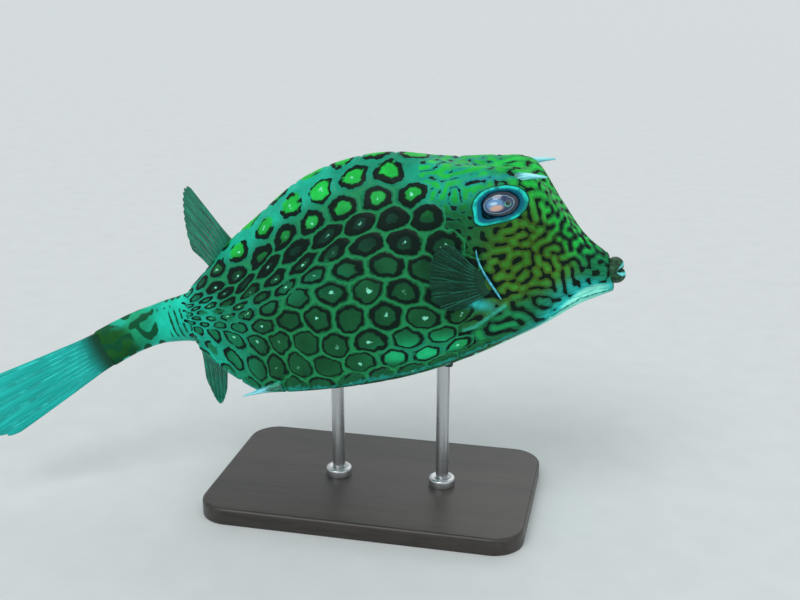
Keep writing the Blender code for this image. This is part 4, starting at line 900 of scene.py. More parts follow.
# Cornea over iris: clear, wet and hard, so the eye gets one sharp glint over soft-edged colours below it.
glossy_eye, tree, shader = new_material("clear_cornea_over_iris", 0.15, Coat_Weight=1.0,
                                        Coat_Roughness=0.03, IOR=1.376)
disc = add_node(tree, "UVMap", uv_map="disc")
haze = add_node(tree, "TexNoise", {"Vector": disc, "Scale": 5.0, "Detail": 3.0})
haze = add_node(tree, "Math", {0: haze, 1: 0.5}, operation="SUBTRACT")
haze = add_node(tree, "Math", {0: haze, 1: 0.12}, operation="MULTIPLY")
colour = EYE_GROUND
for middle_at, radii, blur, shade in EYE_MARKS:
    far = add_node(tree, "VectorMath", {0: disc, 1: (*middle_at, 0.0)}, operation="SUBTRACT")
    far = add_node(tree, "VectorMath", {0: far, 1: (*radii, 1.0)}, operation="DIVIDE")
    far = add_node(tree, "VectorMath", {0: far}, operation="LENGTH")
    far = add_node(tree, "Math", {0: far, 1: haze})
    inside = add_node(tree, "MapRange", {"Value": far, "From Min": 1.0 + blur / 2,
                                         "From Max": 1.0 - blur / 2})
    colour = add_node(tree, "Mix", {"Factor": inside, 6: colour, 7: shade})
feed(tree, shader, {"Base Color": colour})

for name, side in (("eye_right", -1), ("eye_left", 1)):
    point, out, back, up = EYE_FRAMES[side]
    polar = np.linspace(EYE_POLE, math.pi - EYE_POLE, EYE_RINGS)[:, None]
    turn = full_turn(EYE_ROUND)[None, :]
    a, b, c = np.sin(polar) * np.cos(turn), np.sin(polar) * np.sin(turn), np.cos(polar) + 0 * turn
    ball = a[..., None] * back * EYE_RADII[0] + b[..., None] * up * EYE_RADII[1]
    ball = point - out * EYE_SUNK + (ball + c[..., None] * out * EYE_RADII[2])
    piece = ringed_piece(name + "_ball", place(ball), glossy_eye, np.linspace(0, 1, EYE_RINGS))
    at = corners_of(piece.data)[0]
    flat = np.concatenate([np.stack([a, b], axis=-1).reshape(-1, 2), np.zeros((2, 2))])
    set_uv(piece.data, "disc", flat[at])
    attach(piece, "root")
    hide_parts(name)


# Lips. Two thick, rubbery half rings that meet along the mouth line, finely folded across, dark olive
# behind and pale where their front edge catches the light. They are part of the fish, not fitted to it.
LIP_RING, LIP_X, LIP_SWEEP = (4.0, 2.2), 4.0, 2.0
LIP_DEEP, LIP_THICK, LIP_AT_CORNER, MOUTH_Z = 3.7, 3.4, 0.72, 28.6
LIP_STEPS, LIP_ROUND, LIP_FOLDS, LIP_FOLD_DEEP, MOUTH_GAP = 72, 48, 17, 0.022, 0.16

# Lip flesh: wet, rubbery skin, so the eye gets a dull sheen over dark olive, mottled at about a
# millimetre, with a pale edge in front.
LIP_MOTTLE_MM = 1.11
rubbery_lip, tree, shader = new_material("wet_rubbery_lip", 0.45, Specular_IOR_Level=0.2, Coat_Weight=0.08,
                                         Coat_Roughness=0.2)
along_round = add_node(tree, "UVMap", uv_map="along_round")
along_round = add_node(tree, "SeparateXYZ", {0: along_round})
at = add_node(tree, "TexCoord").outputs["Object"]
mottle = add_node(tree, "TexNoise", {"Vector": at, "Scale": 1000.0 / LIP_MOTTLE_MM, "Detail": 4.0})
to_front = add_node(tree, "Math", {0: along_round.outputs["Y"], 1: 0.5}, operation="SUBTRACT")
to_front = add_node(tree, "Math", {0: to_front}, operation="ABSOLUTE")
to_front = add_node(tree, "Math", {0: mottle, 1: 0.08, 2: to_front}, operation="MULTIPLY_ADD")
edge = add_node(tree, "MapRange", {"Value": to_front, "From Min": 0.1, "From Max": 0.06})
behind = add_node(tree, "ValToRGB", {"Fac": mottle})
for stop, position, shade in zip(behind.color_ramp.elements, (0.35, 0.68), ("#0c2618", "#2a6440")):
    stop.position, stop.color = position, (*linear(shade), 1.0)
colour = add_node(tree, "Mix", {"Factor": edge, 6: behind, 7: "#6fe0dc"})
grain = add_node(tree, "Bump", {"Height": mottle, "Strength": 0.3, "Distance": 0.0002})
feed(tree, shader, {"Base Color": colour, "Normal": grain})

for name, way in (("upper_lip", 1), ("lower_lip", -1)):
    lip_turn = np.linspace(0.0, math.pi, LIP_STEPS + 1)[:, None]
    round_at = full_turn(LIP_ROUND)[None, :]
    spoke = np.stack([0 * lip_turn, np.cos(lip_turn), way * np.sin(lip_turn)], axis=-1)
    full = LIP_AT_CORNER + (1 - LIP_AT_CORNER) * np.sin(lip_turn)
    full = full * (1 - LIP_FOLD_DEEP * (1 - np.cos(2 * LIP_FOLDS * lip_turn)) * np.sin(round_at / 2) ** 2)
    centre = np.stack([LIP_X + LIP_SWEEP * np.cos(lip_turn) ** 2, LIP_RING[0] * np.cos(lip_turn),
                       MOUTH_Z + LIP_RING[1] * way * np.sin(lip_turn)], axis=-1)
    lip = centre + (np.cos(round_at) * LIP_DEEP * full)[..., None] * np.array([1.0, 0.0, 0.0])
    lip = lip + (np.sin(round_at) * LIP_THICK * full)[..., None] * spoke
    lip[..., 2] = way * np.maximum(way * (lip[..., 2] - MOUTH_Z), MOUTH_GAP / 2) + MOUTH_Z
    piece = ringed_piece(name + "_flesh", place(lip), rubbery_lip, np.linspace(0, 1, LIP_STEPS + 1))
    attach(piece, "root")
    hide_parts(name)


# Horns and keel spines. Solid bone in a thin skin that wears away towards the tip: cyan and streaked at the
# flared root, pale and smooth at the point, with faint rings of growth. They grow out of the plates.
HORN = {"root": (40.0, 14.6, 79.0), "tip": (22.3, 19.6, 77.4), "radius": 2.7, "sag": 0.8, "flat": 1.0}
KEEL_SPINE = {"root": (154.0, 30.5, 10), "tip": (177.5, 26.0, 5.6), "radius": 4.2, "sag": 0.0, "flat": 0.6}
POINT_RADIUS, BLUNT, BLUNT_FROM, BLUNT_OVER = 0.35, 0.15, 0.96, 0.04
SPIKE_RINGS, SPIKE_ROUND, SPIKE_SPACING, SPIKE_TAPER = 44, 36, 0.9, 1.1
SPIKE_FLARE, FLARE_AT, FLARE_REACH, FLARE_UNTIL = 0.1, 0.2, 0.16, 0.35
SPIKE_GROOVES, SPIKE_GROOVE = 7, 0.02

# Spine bone: hard and dense under a worn skin, so the eye gets a satin sheen, green streaks at the root
# that thin out towards a pale blue point, and faint rings across.
bare_horn, tree, shader = new_material("worn_bone_spine", 0.38, Coat_Weight=0.2, Coat_Roughness=0.25)
pattern = add_node(tree, "UVMap", uv_map="along_round")
along_round = add_node(tree, "SeparateXYZ", {0: pattern})
drawn = add_node(tree, "Mapping", {"Vector": pattern, "Scale": (2.2, 9.0, 1.0)})
streak = add_node(tree, "TexNoise", {"Vector": drawn, "Scale": 1.0, "Detail": 3.0, "Roughness": 0.6})
skin_left = add_node(tree, "Math", {0: streak, 1: 0.55, 2: along_round.outputs["X"]},
                     operation="MULTIPLY_ADD")
skin_left = add_node(tree, "MapRange", {"Value": skin_left, "From Min": 0.78, "From Max": 0.45})
streaks = add_node(tree, "MapRange", {"Value": streak, "From Min": 0.42, "From Max": 0.6})
root_skin = add_node(tree, "Mix", {"Factor": streaks, 6: "#0c5a50", 7: "#24b486"})
bone = add_node(tree, "Mix", {"Factor": streaks, 6: "#58cfe0", 7: "#a4f0f4"})
colour = add_node(tree, "Mix", {"Factor": skin_left, 6: bone, 7: root_skin})
ringed = add_node(tree, "TexWave", {"Vector": pattern, "Scale": 3.2, "Distortion": 1.5, "Detail": 2.0})
ringed = add_node(tree, "Math", {0: ringed.outputs["Fac"], 1: 0.4, 2: streak}, operation="MULTIPLY_ADD")
grain = add_node(tree, "Bump", {"Height": ringed, "Strength": 0.35, "Distance": 0.0003})
feed(tree, shader, {"Base Color": colour, "Normal": grain})

for side, word in ((-1, "right"), (1, "left")):
    for name, sizes in (("horn_", HORN), ("keel_spine_", KEEL_SPINE)):
        root, tip = np.array(sizes["root"]) * (1, side, 1), np.array(sizes["tip"]) * (1, side, 1)
        axis = unit(tip - root)
        across = unit(np.cross(axis, (0.0, 0.0, 1.0)))
        up = np.cross(across, axis)
        u = np.linspace(0.0, 1.0, SPIKE_RINGS) ** SPIKE_SPACING
        turn = full_turn(SPIKE_ROUND)
        point_end = np.sqrt(np.clip(1 - ((u - BLUNT_FROM) / BLUNT_OVER).clip(0, 1) ** 2, 0.0, 1.0))
        r = POINT_RADIUS + (sizes["radius"] - POINT_RADIUS) * (1 - u) ** SPIKE_TAPER
        r = r * (BLUNT + (1 - BLUNT) * point_end)
        r = r * (1 + SPIKE_FLARE * hump((u, FLARE_AT, FLARE_REACH)) * (u < FLARE_UNTIL))
        centre = root + np.outer(u, tip - root) + np.outer(sizes["sag"] * np.sin(math.pi * u), up)
        tall = np.maximum(r * sizes["flat"], np.minimum(r, POINT_RADIUS))
        grooved = 1 + SPIKE_GROOVE * np.sin(SPIKE_GROOVES * turn)[None, :] * (1 - u)[:, None]
        spike = centre[:, None] + (r[:, None] * grooved * np.cos(turn))[..., None] * across
        spike = spike + (tall[:, None] * grooved * np.sin(turn))[..., None] * up
        piece = ringed_piece(name + word + "_bone", place(spike), bare_horn, u)
        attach(piece, "root")
        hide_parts(name + word)


# Fins. Thin, clear webs stretched over soft rays that fork twice on their way to the edge. The rays spring
# from a thick fleshy root on the body, and they are built by Geometry Nodes as rods that thin outwards.
FIN_HALF, FIN_EDGE_HALF, RAY_RADIUS, RAY_THINS, LIFT_SHARE = 0.24, 0.12, 0.46, 0.62, 0.09
RAY_PARTS, FIN_ROWS, FIN_SPACING, ROOT_CURVE = 8, 44, 1.25, 1.5
WEB_DRAWN_IN, DRAWN_IN_FROM, WEB_WAVE, WAVE_FROM = 0.03, (0.8, 1.0), 0.25, (0.1, 0.7)
FORKS, FORK_LENGTH, FORK_THINS = ((0.40, 0.24), (0.68, 0.12)), 0.45, 0.14
RAY_TIP, RAY_STEPS, RAY_SIDES = 0.985, 12, 8
PECTORAL_TOP, PECTORAL_FOOT, PECTORAL_SUNK = (56.5, 44.0), (54.0, 35.5), 1.2
PECTORAL_LEAD, PECTORAL_TRAIL = (0.52, 0.84, 0.16), (0.95, -0.25, 0.20)
TAIL_FIN_ROOT, TAIL_FIN_SPREAD = 8.6, math.radians(7.0)
centre, heading, across, up = tail_frame(STALK_END + 0.3)
fins = {
    "dorsal_fin": {
        "root": ((172.0, 0.0, 69.5), (185.5, 0.0, 57.5)), "aim": ((0.40, 0.0, 0.92), (0.40, 0.0, 0.92)),
        "lengths": (38.0, 31.0, 18.0), "rays": 10, "side": (0.0, 1.0, 0.0),
        "curl": -2.5, "twist": 1.2, "root_half": 1.6, "root_reach": 0.4, "lift": 0.0, "corner": 0.1,
        "look": ("#0a5844", "#149070", "#20a486", 0.74),
    },
    "anal_fin": {
        "root": ((190.5, 0.0, 21.5), (203.5, 0.0, 30.0)), "aim": ((0.28, 0.0, -0.96), (0.04, 0.0, -1.0)),
        "lengths": (23.0, 31.0, 23.0), "rays": 10, "side": (0.0, 1.0, 0.0),
        "curl": -2.0, "twist": 1.0, "root_half": 1.5, "root_reach": 0.4, "lift": 0.0, "corner": 0.1,
        "look": ("#0a5844", "#148c70", "#20a486", 0.74),
    },
    "tail_fin": {
        "root": (centre + up * TAIL_FIN_ROOT, centre - up * TAIL_FIN_ROOT),
        "aim": (heading + up * math.tan(TAIL_FIN_SPREAD), heading - up * math.tan(TAIL_FIN_SPREAD)),
        "lengths": (61.0, 66.0, 61.0), "rays": 10, "side": across,
        "curl": -3.0, "twist": 0.0, "root_half": 1.9, "root_reach": 0.16, "lift": 0.0, "corner": 0.1,
        "look": ("#0fa49a", "#22ccc2", "#38e0d6", 0.95),
    },
}
for name, side in (("pectoral_fin_right", -1), ("pectoral_fin_left", 1)):
    top, out, back, up = flank_frame(*PECTORAL_TOP, side)
    foot = flank_frame(*PECTORAL_FOOT, side)[0]
    fins[name] = {
        "root": (top - out * PECTORAL_SUNK, foot - out * PECTORAL_SUNK),
        "aim": [back * b + up * u + out * o for b, u, o in (PECTORAL_LEAD, PECTORAL_TRAIL)],
        "lengths": (22.0, 25.0, 22.0), "rays": 12, "side": out,
        "curl": -1.0, "twist": 0.0, "root_half": 0.9, "root_reach": 0.3, "lift": 3.6, "corner": 0.25,
        "look": ("#072c20", "#0e4a34", "#16624c", 0.70),
    }


def fin_points(spec, u, v):
    """The fin's mid surface: u runs from root to tip, v from the first ray to the last."""
    w = v[..., None]
    root = np.array(spec["root"][0]) * (1 - w) + np.array(spec["root"][1]) * w
    aim = unit(np.array(spec["aim"][0]) * (1 - w) + np.array(spec["aim"][1]) * w)
    first, middle, last = spec["lengths"]
    length = first * (1 - v) * (1 - 2 * v) + middle * 4 * v * (1 - v) + last * v * (2 * v - 1)
    length = length * (1 - spec["corner"] * np.abs(2 * v - 1) ** 5)
    bend = spec["curl"] * u * u * (1 + spec["twist"] * (v - 0.5))
    bend = bend + spec["lift"] * (1 - np.exp(-u / LIFT_SHARE))
    return root + aim * (length * u)[..., None] + np.array(spec["side"]) * bend[..., None]


def fork_offsets(u):
    """How far the rays have spread at u from their own middle line, after each fork, in ray spaces."""
    return [reach * smooth(start, start + FORK_LENGTH, u) for start, reach in FORKS]


def ray_rods(spec, material):
    """The rays of a fin: lines that fork, turned by Geometry Nodes into rods that thin outwards."""
    points, edges, thick = [], [], []
    for k in range(spec["rays"]):
        for signs in ((0, 0), (1, 0), (-1, 0), (1, 1), (1, -1), (-1, 1), (-1, -1)):
            level = sum(abs(sign) for sign in signs)
            start, end = ((0.0, FORKS[0][0]), (FORKS[0][0], FORKS[1][0]), (FORKS[1][0], RAY_TIP))[level]
            u = np.linspace(start, end, RAY_STEPS)
            spread = fork_offsets(u)
            v = (k + 0.5 + signs[0] * spread[0] + signs[1] * spread[1]) / spec["rays"]
            line = place(fin_points(spec, u, v))
            edges += [(len(points) + n, len(points) + n + 1) for n in range(len(u) - 1)]
            points += line.tolist()
            thick += (RAY_RADIUS * (1 - RAY_THINS * u) * (1 - FORK_THINS * level) * MM).tolist()
    mesh = bpy.data.meshes.new("ray_lines")
    mesh.from_pydata(points, edges, [])
    set_attribute(mesh, "thickness", thick)
    lines = add_to_scene("ray_lines", mesh)
    tree = bpy.data.node_groups.new("fin_rays", "GeometryNodeTree")
    tree.interface.new_socket("Lines", in_out="INPUT", socket_type="NodeSocketGeometry")
    sides = tree.interface.new_socket("Ray Sides", in_out="INPUT", socket_type="NodeSocketInt")
    stoutness = tree.interface.new_socket("Ray Stoutness", in_out="INPUT", socket_type="NodeSocketFloat")
    tree.interface.new_socket("Rays", in_out="OUTPUT", socket_type="NodeSocketGeometry")
    given = add_node(tree, "NodeGroupInput")
    curve = add_node(tree, "GeometryNodeMeshToCurve", {0: given.outputs["Lines"]})
    own = add_node(tree, "GeometryNodeInputNamedAttribute", {"Name": "thickness"}, data_type="FLOAT")
    radius = add_node(tree, "Math", {0: own, 1: given.outputs["Ray Stoutness"]}, operation="MULTIPLY")
    profile = add_node(tree, "GeometryNodeCurvePrimitiveCircle",
                       {"Resolution": given.outputs["Ray Sides"], "Radius": 1.0})
    rods = add_node(tree, "GeometryNodeCurveToMesh", {
        "Curve": curve, "Profile Curve": profile, "Scale": radius, "Fill Caps": True,
    })
    rods = add_node(tree, "GeometryNodeRealizeInstances", {0: rods})
    rods = add_node(tree, "GeometryNodeSetShadeSmooth", {"Geometry": rods})
    rods = add_node(tree, "GeometryNodeSetMaterial", {"Geometry": rods, "Material": material})
    add_node(tree, "NodeGroupOutput", {0: rods})
    modifier = lines.modifiers.new("fin_rays", "NODES")
    modifier.node_group = tree
    modifier[sides.identifier], modifier[stoutness.identifier] = RAY_SIDES, 1.0
    made = bpy.data.meshes.new_from_object(lines.evaluated_get(bpy.context.evaluated_depsgraph_get()))
    bpy.data.objects.remove(lines)
    return made


# Fin web: a thin, wet, clear membrane, so the eye gets streaks of colour along the rays, faint pleats
# between them, and a soft edge through which what lies behind shows, but not at the fleshy root.
clear_web, tree, shader = new_material("clear_fin_web", 0.4, Specular_IOR_Level=0.15, Coat_Weight=0.04)
pattern = add_node(tree, "UVMap", uv_map="fin")
fin_at = add_node(tree, "SeparateXYZ", {0: pattern})
drawn = add_node(tree, "Mapping", {"Vector": pattern, "Scale": (3.0, 6.0, 1.0)})
streak = add_node(tree, "TexNoise", {"Vector": drawn, "Scale": 1.0, "Detail": 4.0, "Roughness": 0.6})
streaks = add_node(tree, "MapRange", {"Value": streak, "From Min": 0.35, "From Max": 0.65})
inner = add_node(tree, "Attribute", attribute_name="web_dark").outputs["Color"]
outer_web = add_node(tree, "Attribute", attribute_name="web_pale").outputs["Color"]
colour = add_node(tree, "Mix", {"Factor": streaks, 6: inner, 7: outer_web})
clear = add_node(tree, "Attribute", attribute_name="cover")
clear = add_node(tree, "MapRange", {"Value": fin_at.outputs["X"], "From Min": 0.05, "From Max": 0.35,
                                    "To Min": 1.0, "To Max": clear.outputs["Fac"]})
pleats = add_node(tree, "Bump", {"Height": streak, "Strength": 0.4, "Distance": 0.0003})
feed(tree, shader, {"Base Color": colour, "Alpha": clear, "Normal": pleats})

# Fin rays: soft, jointed horn, so the eye gets dull rods, paler than the web and mottled along their
# length, with a joint about every millimetre and a half.
JOINT_MM, RAY_MOTTLE_MM = 1.5, 6.25
ray_horn, tree, shader = new_material("jointed_fin_ray", 0.45, Specular_IOR_Level=0.2)
at = add_node(tree, "TexCoord").outputs["Object"]
mottle = add_node(tree, "TexNoise", {"Vector": at, "Scale": 1000.0 / RAY_MOTTLE_MM, "Detail": 3.0})
mottle = add_node(tree, "MapRange", {"Value": mottle, "From Min": 0.35, "From Max": 0.65})
own = add_node(tree, "Attribute", attribute_name="ray_colour").outputs["Color"]
darker = add_node(tree, "Mix", {"Factor": 1.0, 6: own, 7: (0.45, 0.5, 0.5, 1.0)}, blend_type="MULTIPLY")
colour = add_node(tree, "Mix", {"Factor": mottle, 6: darker, 7: own})
joints = add_node(tree, "TexWave", {"Vector": at, "Scale": 1000.0 / JOINT_MM / 20 * math.pi,
                                    "Distortion": 1.0}, bands_direction="DIAGONAL")
grain = add_node(tree, "Bump", {"Height": joints.outputs["Fac"], "Strength": 0.3, "Distance": 0.0002})
feed(tree, shader, {"Base Color": colour, "Normal": grain})

FIN_ROOT_COLOUR, ROOT_COLOUR_UNTIL = "#0e4430", (0.22, 0.02)
for name, spec in fins.items():
    u = np.linspace(0.0, 1.0, FIN_ROWS + 1)[:, None] ** FIN_SPACING
    v = np.linspace(0.0, 1.0, spec["rays"] * RAY_PARTS + 1)[None, :]
    u, v = u + 0 * v, v + 0 * u
    off_ray = np.abs(v * spec["rays"] % 1.0 - 0.5) * 2
    drawn_in = u * (1 - WEB_DRAWN_IN * smooth(*DRAWN_IN_FROM, u) * off_ray**2)
    middle_web = fin_points(spec, drawn_in, v)
    normal = unit(np.cross(np.gradient(middle_web, axis=0), np.gradient(middle_web, axis=1)))
    wave = WEB_WAVE * smooth(*WAVE_FROM, u) * np.sin(math.pi * v * spec["rays"])
    middle_web = middle_web + normal * (wave * (1 - np.abs(2 * v - 1) ** 4))[..., None]
    half = FIN_EDGE_HALF + (FIN_HALF - FIN_EDGE_HALF) * (1 - u)
    half = half + spec["root_half"] * np.clip(1 - u / spec["root_reach"], 0.0, 1.0) ** ROOT_CURVE
    at = np.arange(u.size).reshape(u.shape)
    edge = np.concatenate([at[0, :-1], at[:-1, -1], at[-1, :0:-1], at[:0:-1, 0]])
    onward = np.roll(edge, -1)
    quads = np.stack([at[:-1, :-1], at[:-1, 1:], at[1:, 1:], at[1:, :-1]], axis=-1).reshape(-1, 4)
    rim_quads = np.stack([onward, edge, edge + at.size, onward + at.size], axis=1)
    parts = [quads, quads[:, ::-1] + at.size, rim_quads]
    points = np.concatenate([(middle_web + way * normal * half[..., None]).reshape(-1, 3) for way in (1, -1)])
    web = new_piece(name + "_web", place(points), parts, clear_web)
    corner_at = corners_of(web.data)[0] % u.size
    uv = np.stack([u.ravel(), v.ravel() * spec["rays"]], axis=1)[corner_at]
    set_uv(web.data, "fin", uv)
    root_share = np.tile(smooth(*ROOT_COLOUR_UNTIL, u).ravel(), 2)[:, None]
    dark, pale_web, ray_colour, cover = spec["look"]
    for layer, shade in (("web_dark", dark), ("web_pale", pale_web)):
        values = linear(shade) + (linear(FIN_ROOT_COLOUR) - linear(shade)) * root_share
        set_attribute(web.data, layer, values)
    set_attribute(web.data, "cover", np.full(len(web.data.vertices), cover))
    rays = add_to_scene(name + "_rays", ray_rods(spec, ray_horn))
    set_attribute(rays.data, "ray_colour", np.tile(linear(ray_colour), (len(rays.data.vertices), 1)))
    for piece in (web, rays):
        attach(piece, "root")
    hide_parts(name)


# Display stand. A low board of ebonised oak with rounded corners and a softened edge, two brushed steel rods
# that stand in turned collars, and a thin rubber pad on top of each rod that the belly rests on.
BASE_SIZE, BASE_CORNER, BASE_BEVEL = (150.0, 92.0, 8.0), 14.0, 1.5
ROD_RADIUS, ROD_X, ROD_ROUND = 3.0, (88.0, 140.0), 64
COLLAR_RADIUS, COLLAR_HEIGHT, PAD_RADIUS, PAD_HEIGHT = 6.2, 4.0, 4.4, 2.2

# Ebonised oak: open-grained wood stained black, so the eye gets a satin, near-black board with brown
# fibres along it, just under a millimetre apart.
GRAIN_MM = 0.9
ebonised_oak, tree, shader = new_material("ebonised_oak", 0.42, Coat_Weight=0.15, Coat_Roughness=0.3)
at = add_node(tree, "TexCoord").outputs["Object"]
drawn = add_node(tree, "Mapping", {"Vector": at, "Scale": (60.0, 1000.0 / GRAIN_MM, 500.0)})
fibre = add_node(tree, "TexNoise", {"Vector": drawn, "Scale": 1.0, "Detail": 5.0, "Roughness": 0.6})
broad = add_node(tree, "Mapping", {"Vector": at, "Scale": (8.0, 90.0, 60.0)})
broad = add_node(tree, "TexNoise", {"Vector": broad, "Scale": 1.0, "Detail": 3.0})
grain_at = add_node(tree, "Math", {0: fibre, 1: broad})
tone = add_node(tree, "MapRange", {"Value": grain_at, "From Min": 0.7, "From Max": 1.3},
                interpolation_type="LINEAR")
tone = add_node(tree, "ValToRGB", {"Fac": tone})
for stop, shade in zip(tone.color_ramp.elements, ("#14110f", "#3a332d")):
    stop.color = (*linear(shade), 1.0)
grain = add_node(tree, "Bump", {"Height": fibre, "Strength": 0.3, "Distance": 0.0003})
feed(tree, shader, {"Base Color": tone, "Normal": grain})

# Stainless steel, brushed along the rod, so the eye gets a grey metal with its gloss drawn out in streaks.
brushed_steel, tree, shader = new_material("brushed_stainless_steel", 0.3, Metallic=1.0,
                                           Base_Color="#c4c6c8")
at = add_node(tree, "TexCoord").outputs["Object"]
drawn = add_node(tree, "Mapping", {"Vector": at, "Scale": (150.0, 150.0, 6000.0)})
brushed = add_node(tree, "TexNoise", {"Vector": drawn, "Scale": 1.0, "Detail": 3.0})
rough = add_node(tree, "MapRange", {"Value": brushed, "To Min": 0.2, "To Max": 0.42},
                 interpolation_type="LINEAR")
grain = add_node(tree, "Bump", {"Height": brushed, "Strength": 0.15, "Distance": 0.0001})
feed(tree, shader, {"Roughness": rough, "Normal": grain})

# Rubber: moulded and matt, so the eye gets a soft black that doesn't shine, with a little dust on it.
DUST_MM = 0.667
soft_rubber, tree, shader = new_material("black_rubber_pad", 0.7)
at = add_node(tree, "TexCoord").outputs["Object"]
dust = add_node(tree, "TexNoise", {"Vector": at, "Scale": 1000.0 / DUST_MM, "Detail": 3.0})
tone = add_node(tree, "ValToRGB", {"Fac": dust})
for stop, shade in zip(tone.color_ramp.elements, ("#161616", "#2e2e2e")):
    stop.color = (*linear(shade), 1.0)
feed(tree, shader, {"Base Color": tone})

quarter = np.radians(np.linspace(0, 90, 17))
outline = []
for sx, sy, start in ((1, 1, 0), (-1, 1, 90), (-1, -1, 180), (1, -1, 270)):
    a = quarter + math.radians(start)
    outline.append(np.stack([sx * (BASE_SIZE[0] / 2 - BASE_CORNER) + 0 * a,
                             sy * (BASE_SIZE[1] / 2 - BASE_CORNER) + 0 * a, np.cos(a), np.sin(a)], axis=1))
outline = np.concatenate(outline)
edge_turn = np.radians(np.linspace(0, 90, 9))
top = BASE_SIZE[2]
profile = [(3.0, 0.0), (0.5, 0.0), (0.15, 0.15), (0.0, 0.5), (0.0, top - BASE_BEVEL - 0.3)]
profile += [(BASE_BEVEL * (1 - math.cos(a)), top - BASE_BEVEL * (1 - math.sin(a))) for a in edge_turn]
profile += [(BASE_BEVEL + 0.4, top), (BASE_BEVEL + 4.0, top)]
board = np.array([
    np.column_stack([outline[:, :2] + outline[:, 2:] * (BASE_CORNER - inset), 0 * outline[:, 0] + z])
    for inset, z in profile
])
base = ringed_piece("stand_base_board", board * MM, ebonised_oak, np.linspace(0, 1, len(profile)))
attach(base, "root")
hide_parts("stand_base")


def turned(name, foot, profile, slope, material):
    """An upright turned piece from (radius, height) pairs. Its upper rings may follow the belly's slope."""
    x, y = np.cos(full_turn(ROD_ROUND)), np.sin(full_turn(ROD_ROUND))
    rings = np.array([
        np.column_stack([foot + radius * x, radius * y, z + slope * (radius * x) * sloped])
        for radius, z, sloped in profile
    ])
    return ringed_piece(name, rings * MM, material, np.linspace(0, 1, len(profile)))


for word, x in (("front", ROD_X[0]), ("rear", ROD_X[1])):
    foot = place((x, 0, 0))[0] / MM
    keel_line = place(shell(np.linspace(0, LENGTH, 400), 0.0)) / MM
    high = np.interp(-foot, -keel_line[:, 0], keel_line[:, 2])
    slope = (np.interp(-foot - 3, -keel_line[:, 0], keel_line[:, 2]) - high) / -3
    top, z = high - 0.6, BASE_SIZE[2]
    rod = turned("stand_rod_" + word + "_bar", foot, [
        (1.0, z - 1.0, 0), (ROD_RADIUS, z - 1.0, 0), (ROD_RADIUS, z, 0), (ROD_RADIUS, top - 1.6, 0),
        (ROD_RADIUS, top - 0.6, 1), (ROD_RADIUS - 0.3, top - 0.3, 1), (0.6, top - 0.3, 1),
    ], slope, brushed_steel)
    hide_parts("stand_rod_" + word)
    collar = turned("stand_collar_" + word, foot, [
        (COLLAR_RADIUS - 0.6, z - 0.3, 0), (COLLAR_RADIUS, z - 0.3, 0), (COLLAR_RADIUS, z + 0.4, 0),
        (COLLAR_RADIUS, z + COLLAR_HEIGHT - 1.0, 0), (COLLAR_RADIUS - 0.15, z + COLLAR_HEIGHT - 0.5, 0),
        (COLLAR_RADIUS - 0.5, z + COLLAR_HEIGHT - 0.15, 0), (COLLAR_RADIUS - 1.0, z + COLLAR_HEIGHT, 0),
        (ROD_RADIUS + 0.9, z + COLLAR_HEIGHT, 0), (ROD_RADIUS + 0.3, z + COLLAR_HEIGHT - 0.4, 0),
        (ROD_RADIUS - 0.4, z + COLLAR_HEIGHT - 0.5, 0),
    ], slope, brushed_steel)
    pad = turned("stand_pad_" + word, foot, [
        (ROD_RADIUS - 0.5, top - PAD_HEIGHT, 1), (PAD_RADIUS - 0.5, top - PAD_HEIGHT, 1),
        (PAD_RADIUS - 0.1, top - PAD_HEIGHT + 0.25, 1), (PAD_RADIUS, top - PAD_HEIGHT + 0.7, 1),
        (PAD_RADIUS, top + 0.2, 1), (PAD_RADIUS - 0.2, top + 0.6, 1), (PAD_RADIUS - 0.8, top + 0.8, 1),
        (1.0, top + 0.8, 1),
    ], slope, soft_rubber)
    for piece in (rod, collar):
        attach(piece, "root")
    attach(pad, "root")


# Stage. A plain pale floor and soft studio light: an even pale surround, a broad light above the camera's
# left, a weaker one on its right and one behind. The camera is where the photograph's was.

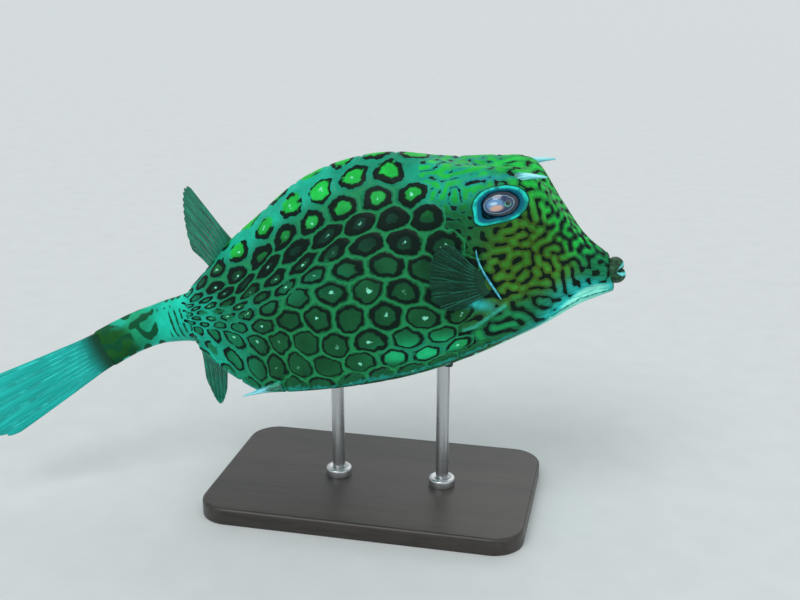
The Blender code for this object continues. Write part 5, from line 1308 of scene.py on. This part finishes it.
# Studio paper: uncoated and matt, so the eye gets an even, pale, shadow-catching ground.
PAPER_MOTTLE_MM = 16.7
paper, tree, shader = new_material("pale_studio_paper", 0.85)
at = add_node(tree, "TexCoord").outputs["Object"]
fibres = add_node(tree, "TexNoise", {"Vector": at, "Scale": 1000.0 / PAPER_MOTTLE_MM, "Detail": 4.0})
tone = add_node(tree, "ValToRGB", {"Fac": fibres})
for stop, shade in zip(tone.color_ramp.elements, ("#ccd0d0", "#d6dada")):
    stop.color = (*linear(shade), 1.0)
feed(tree, shader, {"Base Color": tone})
FLOOR_HALF = 30
floor_mesh = bpy.data.meshes.new("floor")
floor_corners = [(x * FLOOR_HALF, y * FLOOR_HALF, 0) for x, y in ((-1, -1), (1, -1), (1, 1), (-1, 1))]
floor_mesh.from_pydata(floor_corners, [], [(0, 1, 2, 3)])
floor_mesh.materials.append(paper)
floor = add_to_scene("floor", floor_mesh)

SURROUND_COLOUR, SURROUND_STRENGTH = (0.86, 0.9, 0.92, 1.0), 0.78
world = bpy.data.worlds.new("studio")
world.use_nodes = True
surround = world.node_tree.nodes["Background"].inputs
surround["Color"].default_value, surround["Strength"].default_value = SURROUND_COLOUR, SURROUND_STRENGTH
bpy.context.scene.world = world
for name, comes_from, strength, softness in (
    ("key_light", (-0.30, -0.75, 1.00), 1.0, 32), ("fill_light", (0.85, -0.65, 0.55), 0.2, 50),
    ("back_light", (0.1, 0.8, 0.7), 0.3, 40),
):
    light = bpy.data.lights.new(name, "SUN")
    light.energy, light.angle = strength, math.radians(softness)
    lamp = add_to_scene(name, light)
    lamp.rotation_euler = (-Vector(comes_from)).to_track_quat("-Z", "Y").to_euler()

CAMERA_AIM, CAMERA_TURN, CAMERA_LIFT = (125.0, 0.0, 50.0), math.radians(12.6), math.radians(18.4)
CAMERA_RIGHT, CAMERA_DOWN, CAMERA_BACK = 26.75, 14.75, 510.0
back = Vector((
    math.sin(CAMERA_TURN) * math.cos(CAMERA_LIFT), -math.cos(CAMERA_TURN) * math.cos(CAMERA_LIFT),
    math.sin(CAMERA_LIFT),
))
right = Vector((math.cos(CAMERA_TURN), math.sin(CAMERA_TURN), 0.0))
aim = Vector(place(CAMERA_AIM)) + (right * CAMERA_RIGHT - Vector((0, 0, CAMERA_DOWN))) * MM
camera = add_to_scene("camera", bpy.data.cameras.new("camera"))
camera.data.lens, camera.data.sensor_width = 50.0, 36.0
camera.location = aim + back * CAMERA_BACK * MM
camera.rotation_euler = back.to_track_quat("Z", "Y").to_euler()
bpy.context.scene.camera = camera
bpy.context.scene.view_settings.view_transform = "Standard"
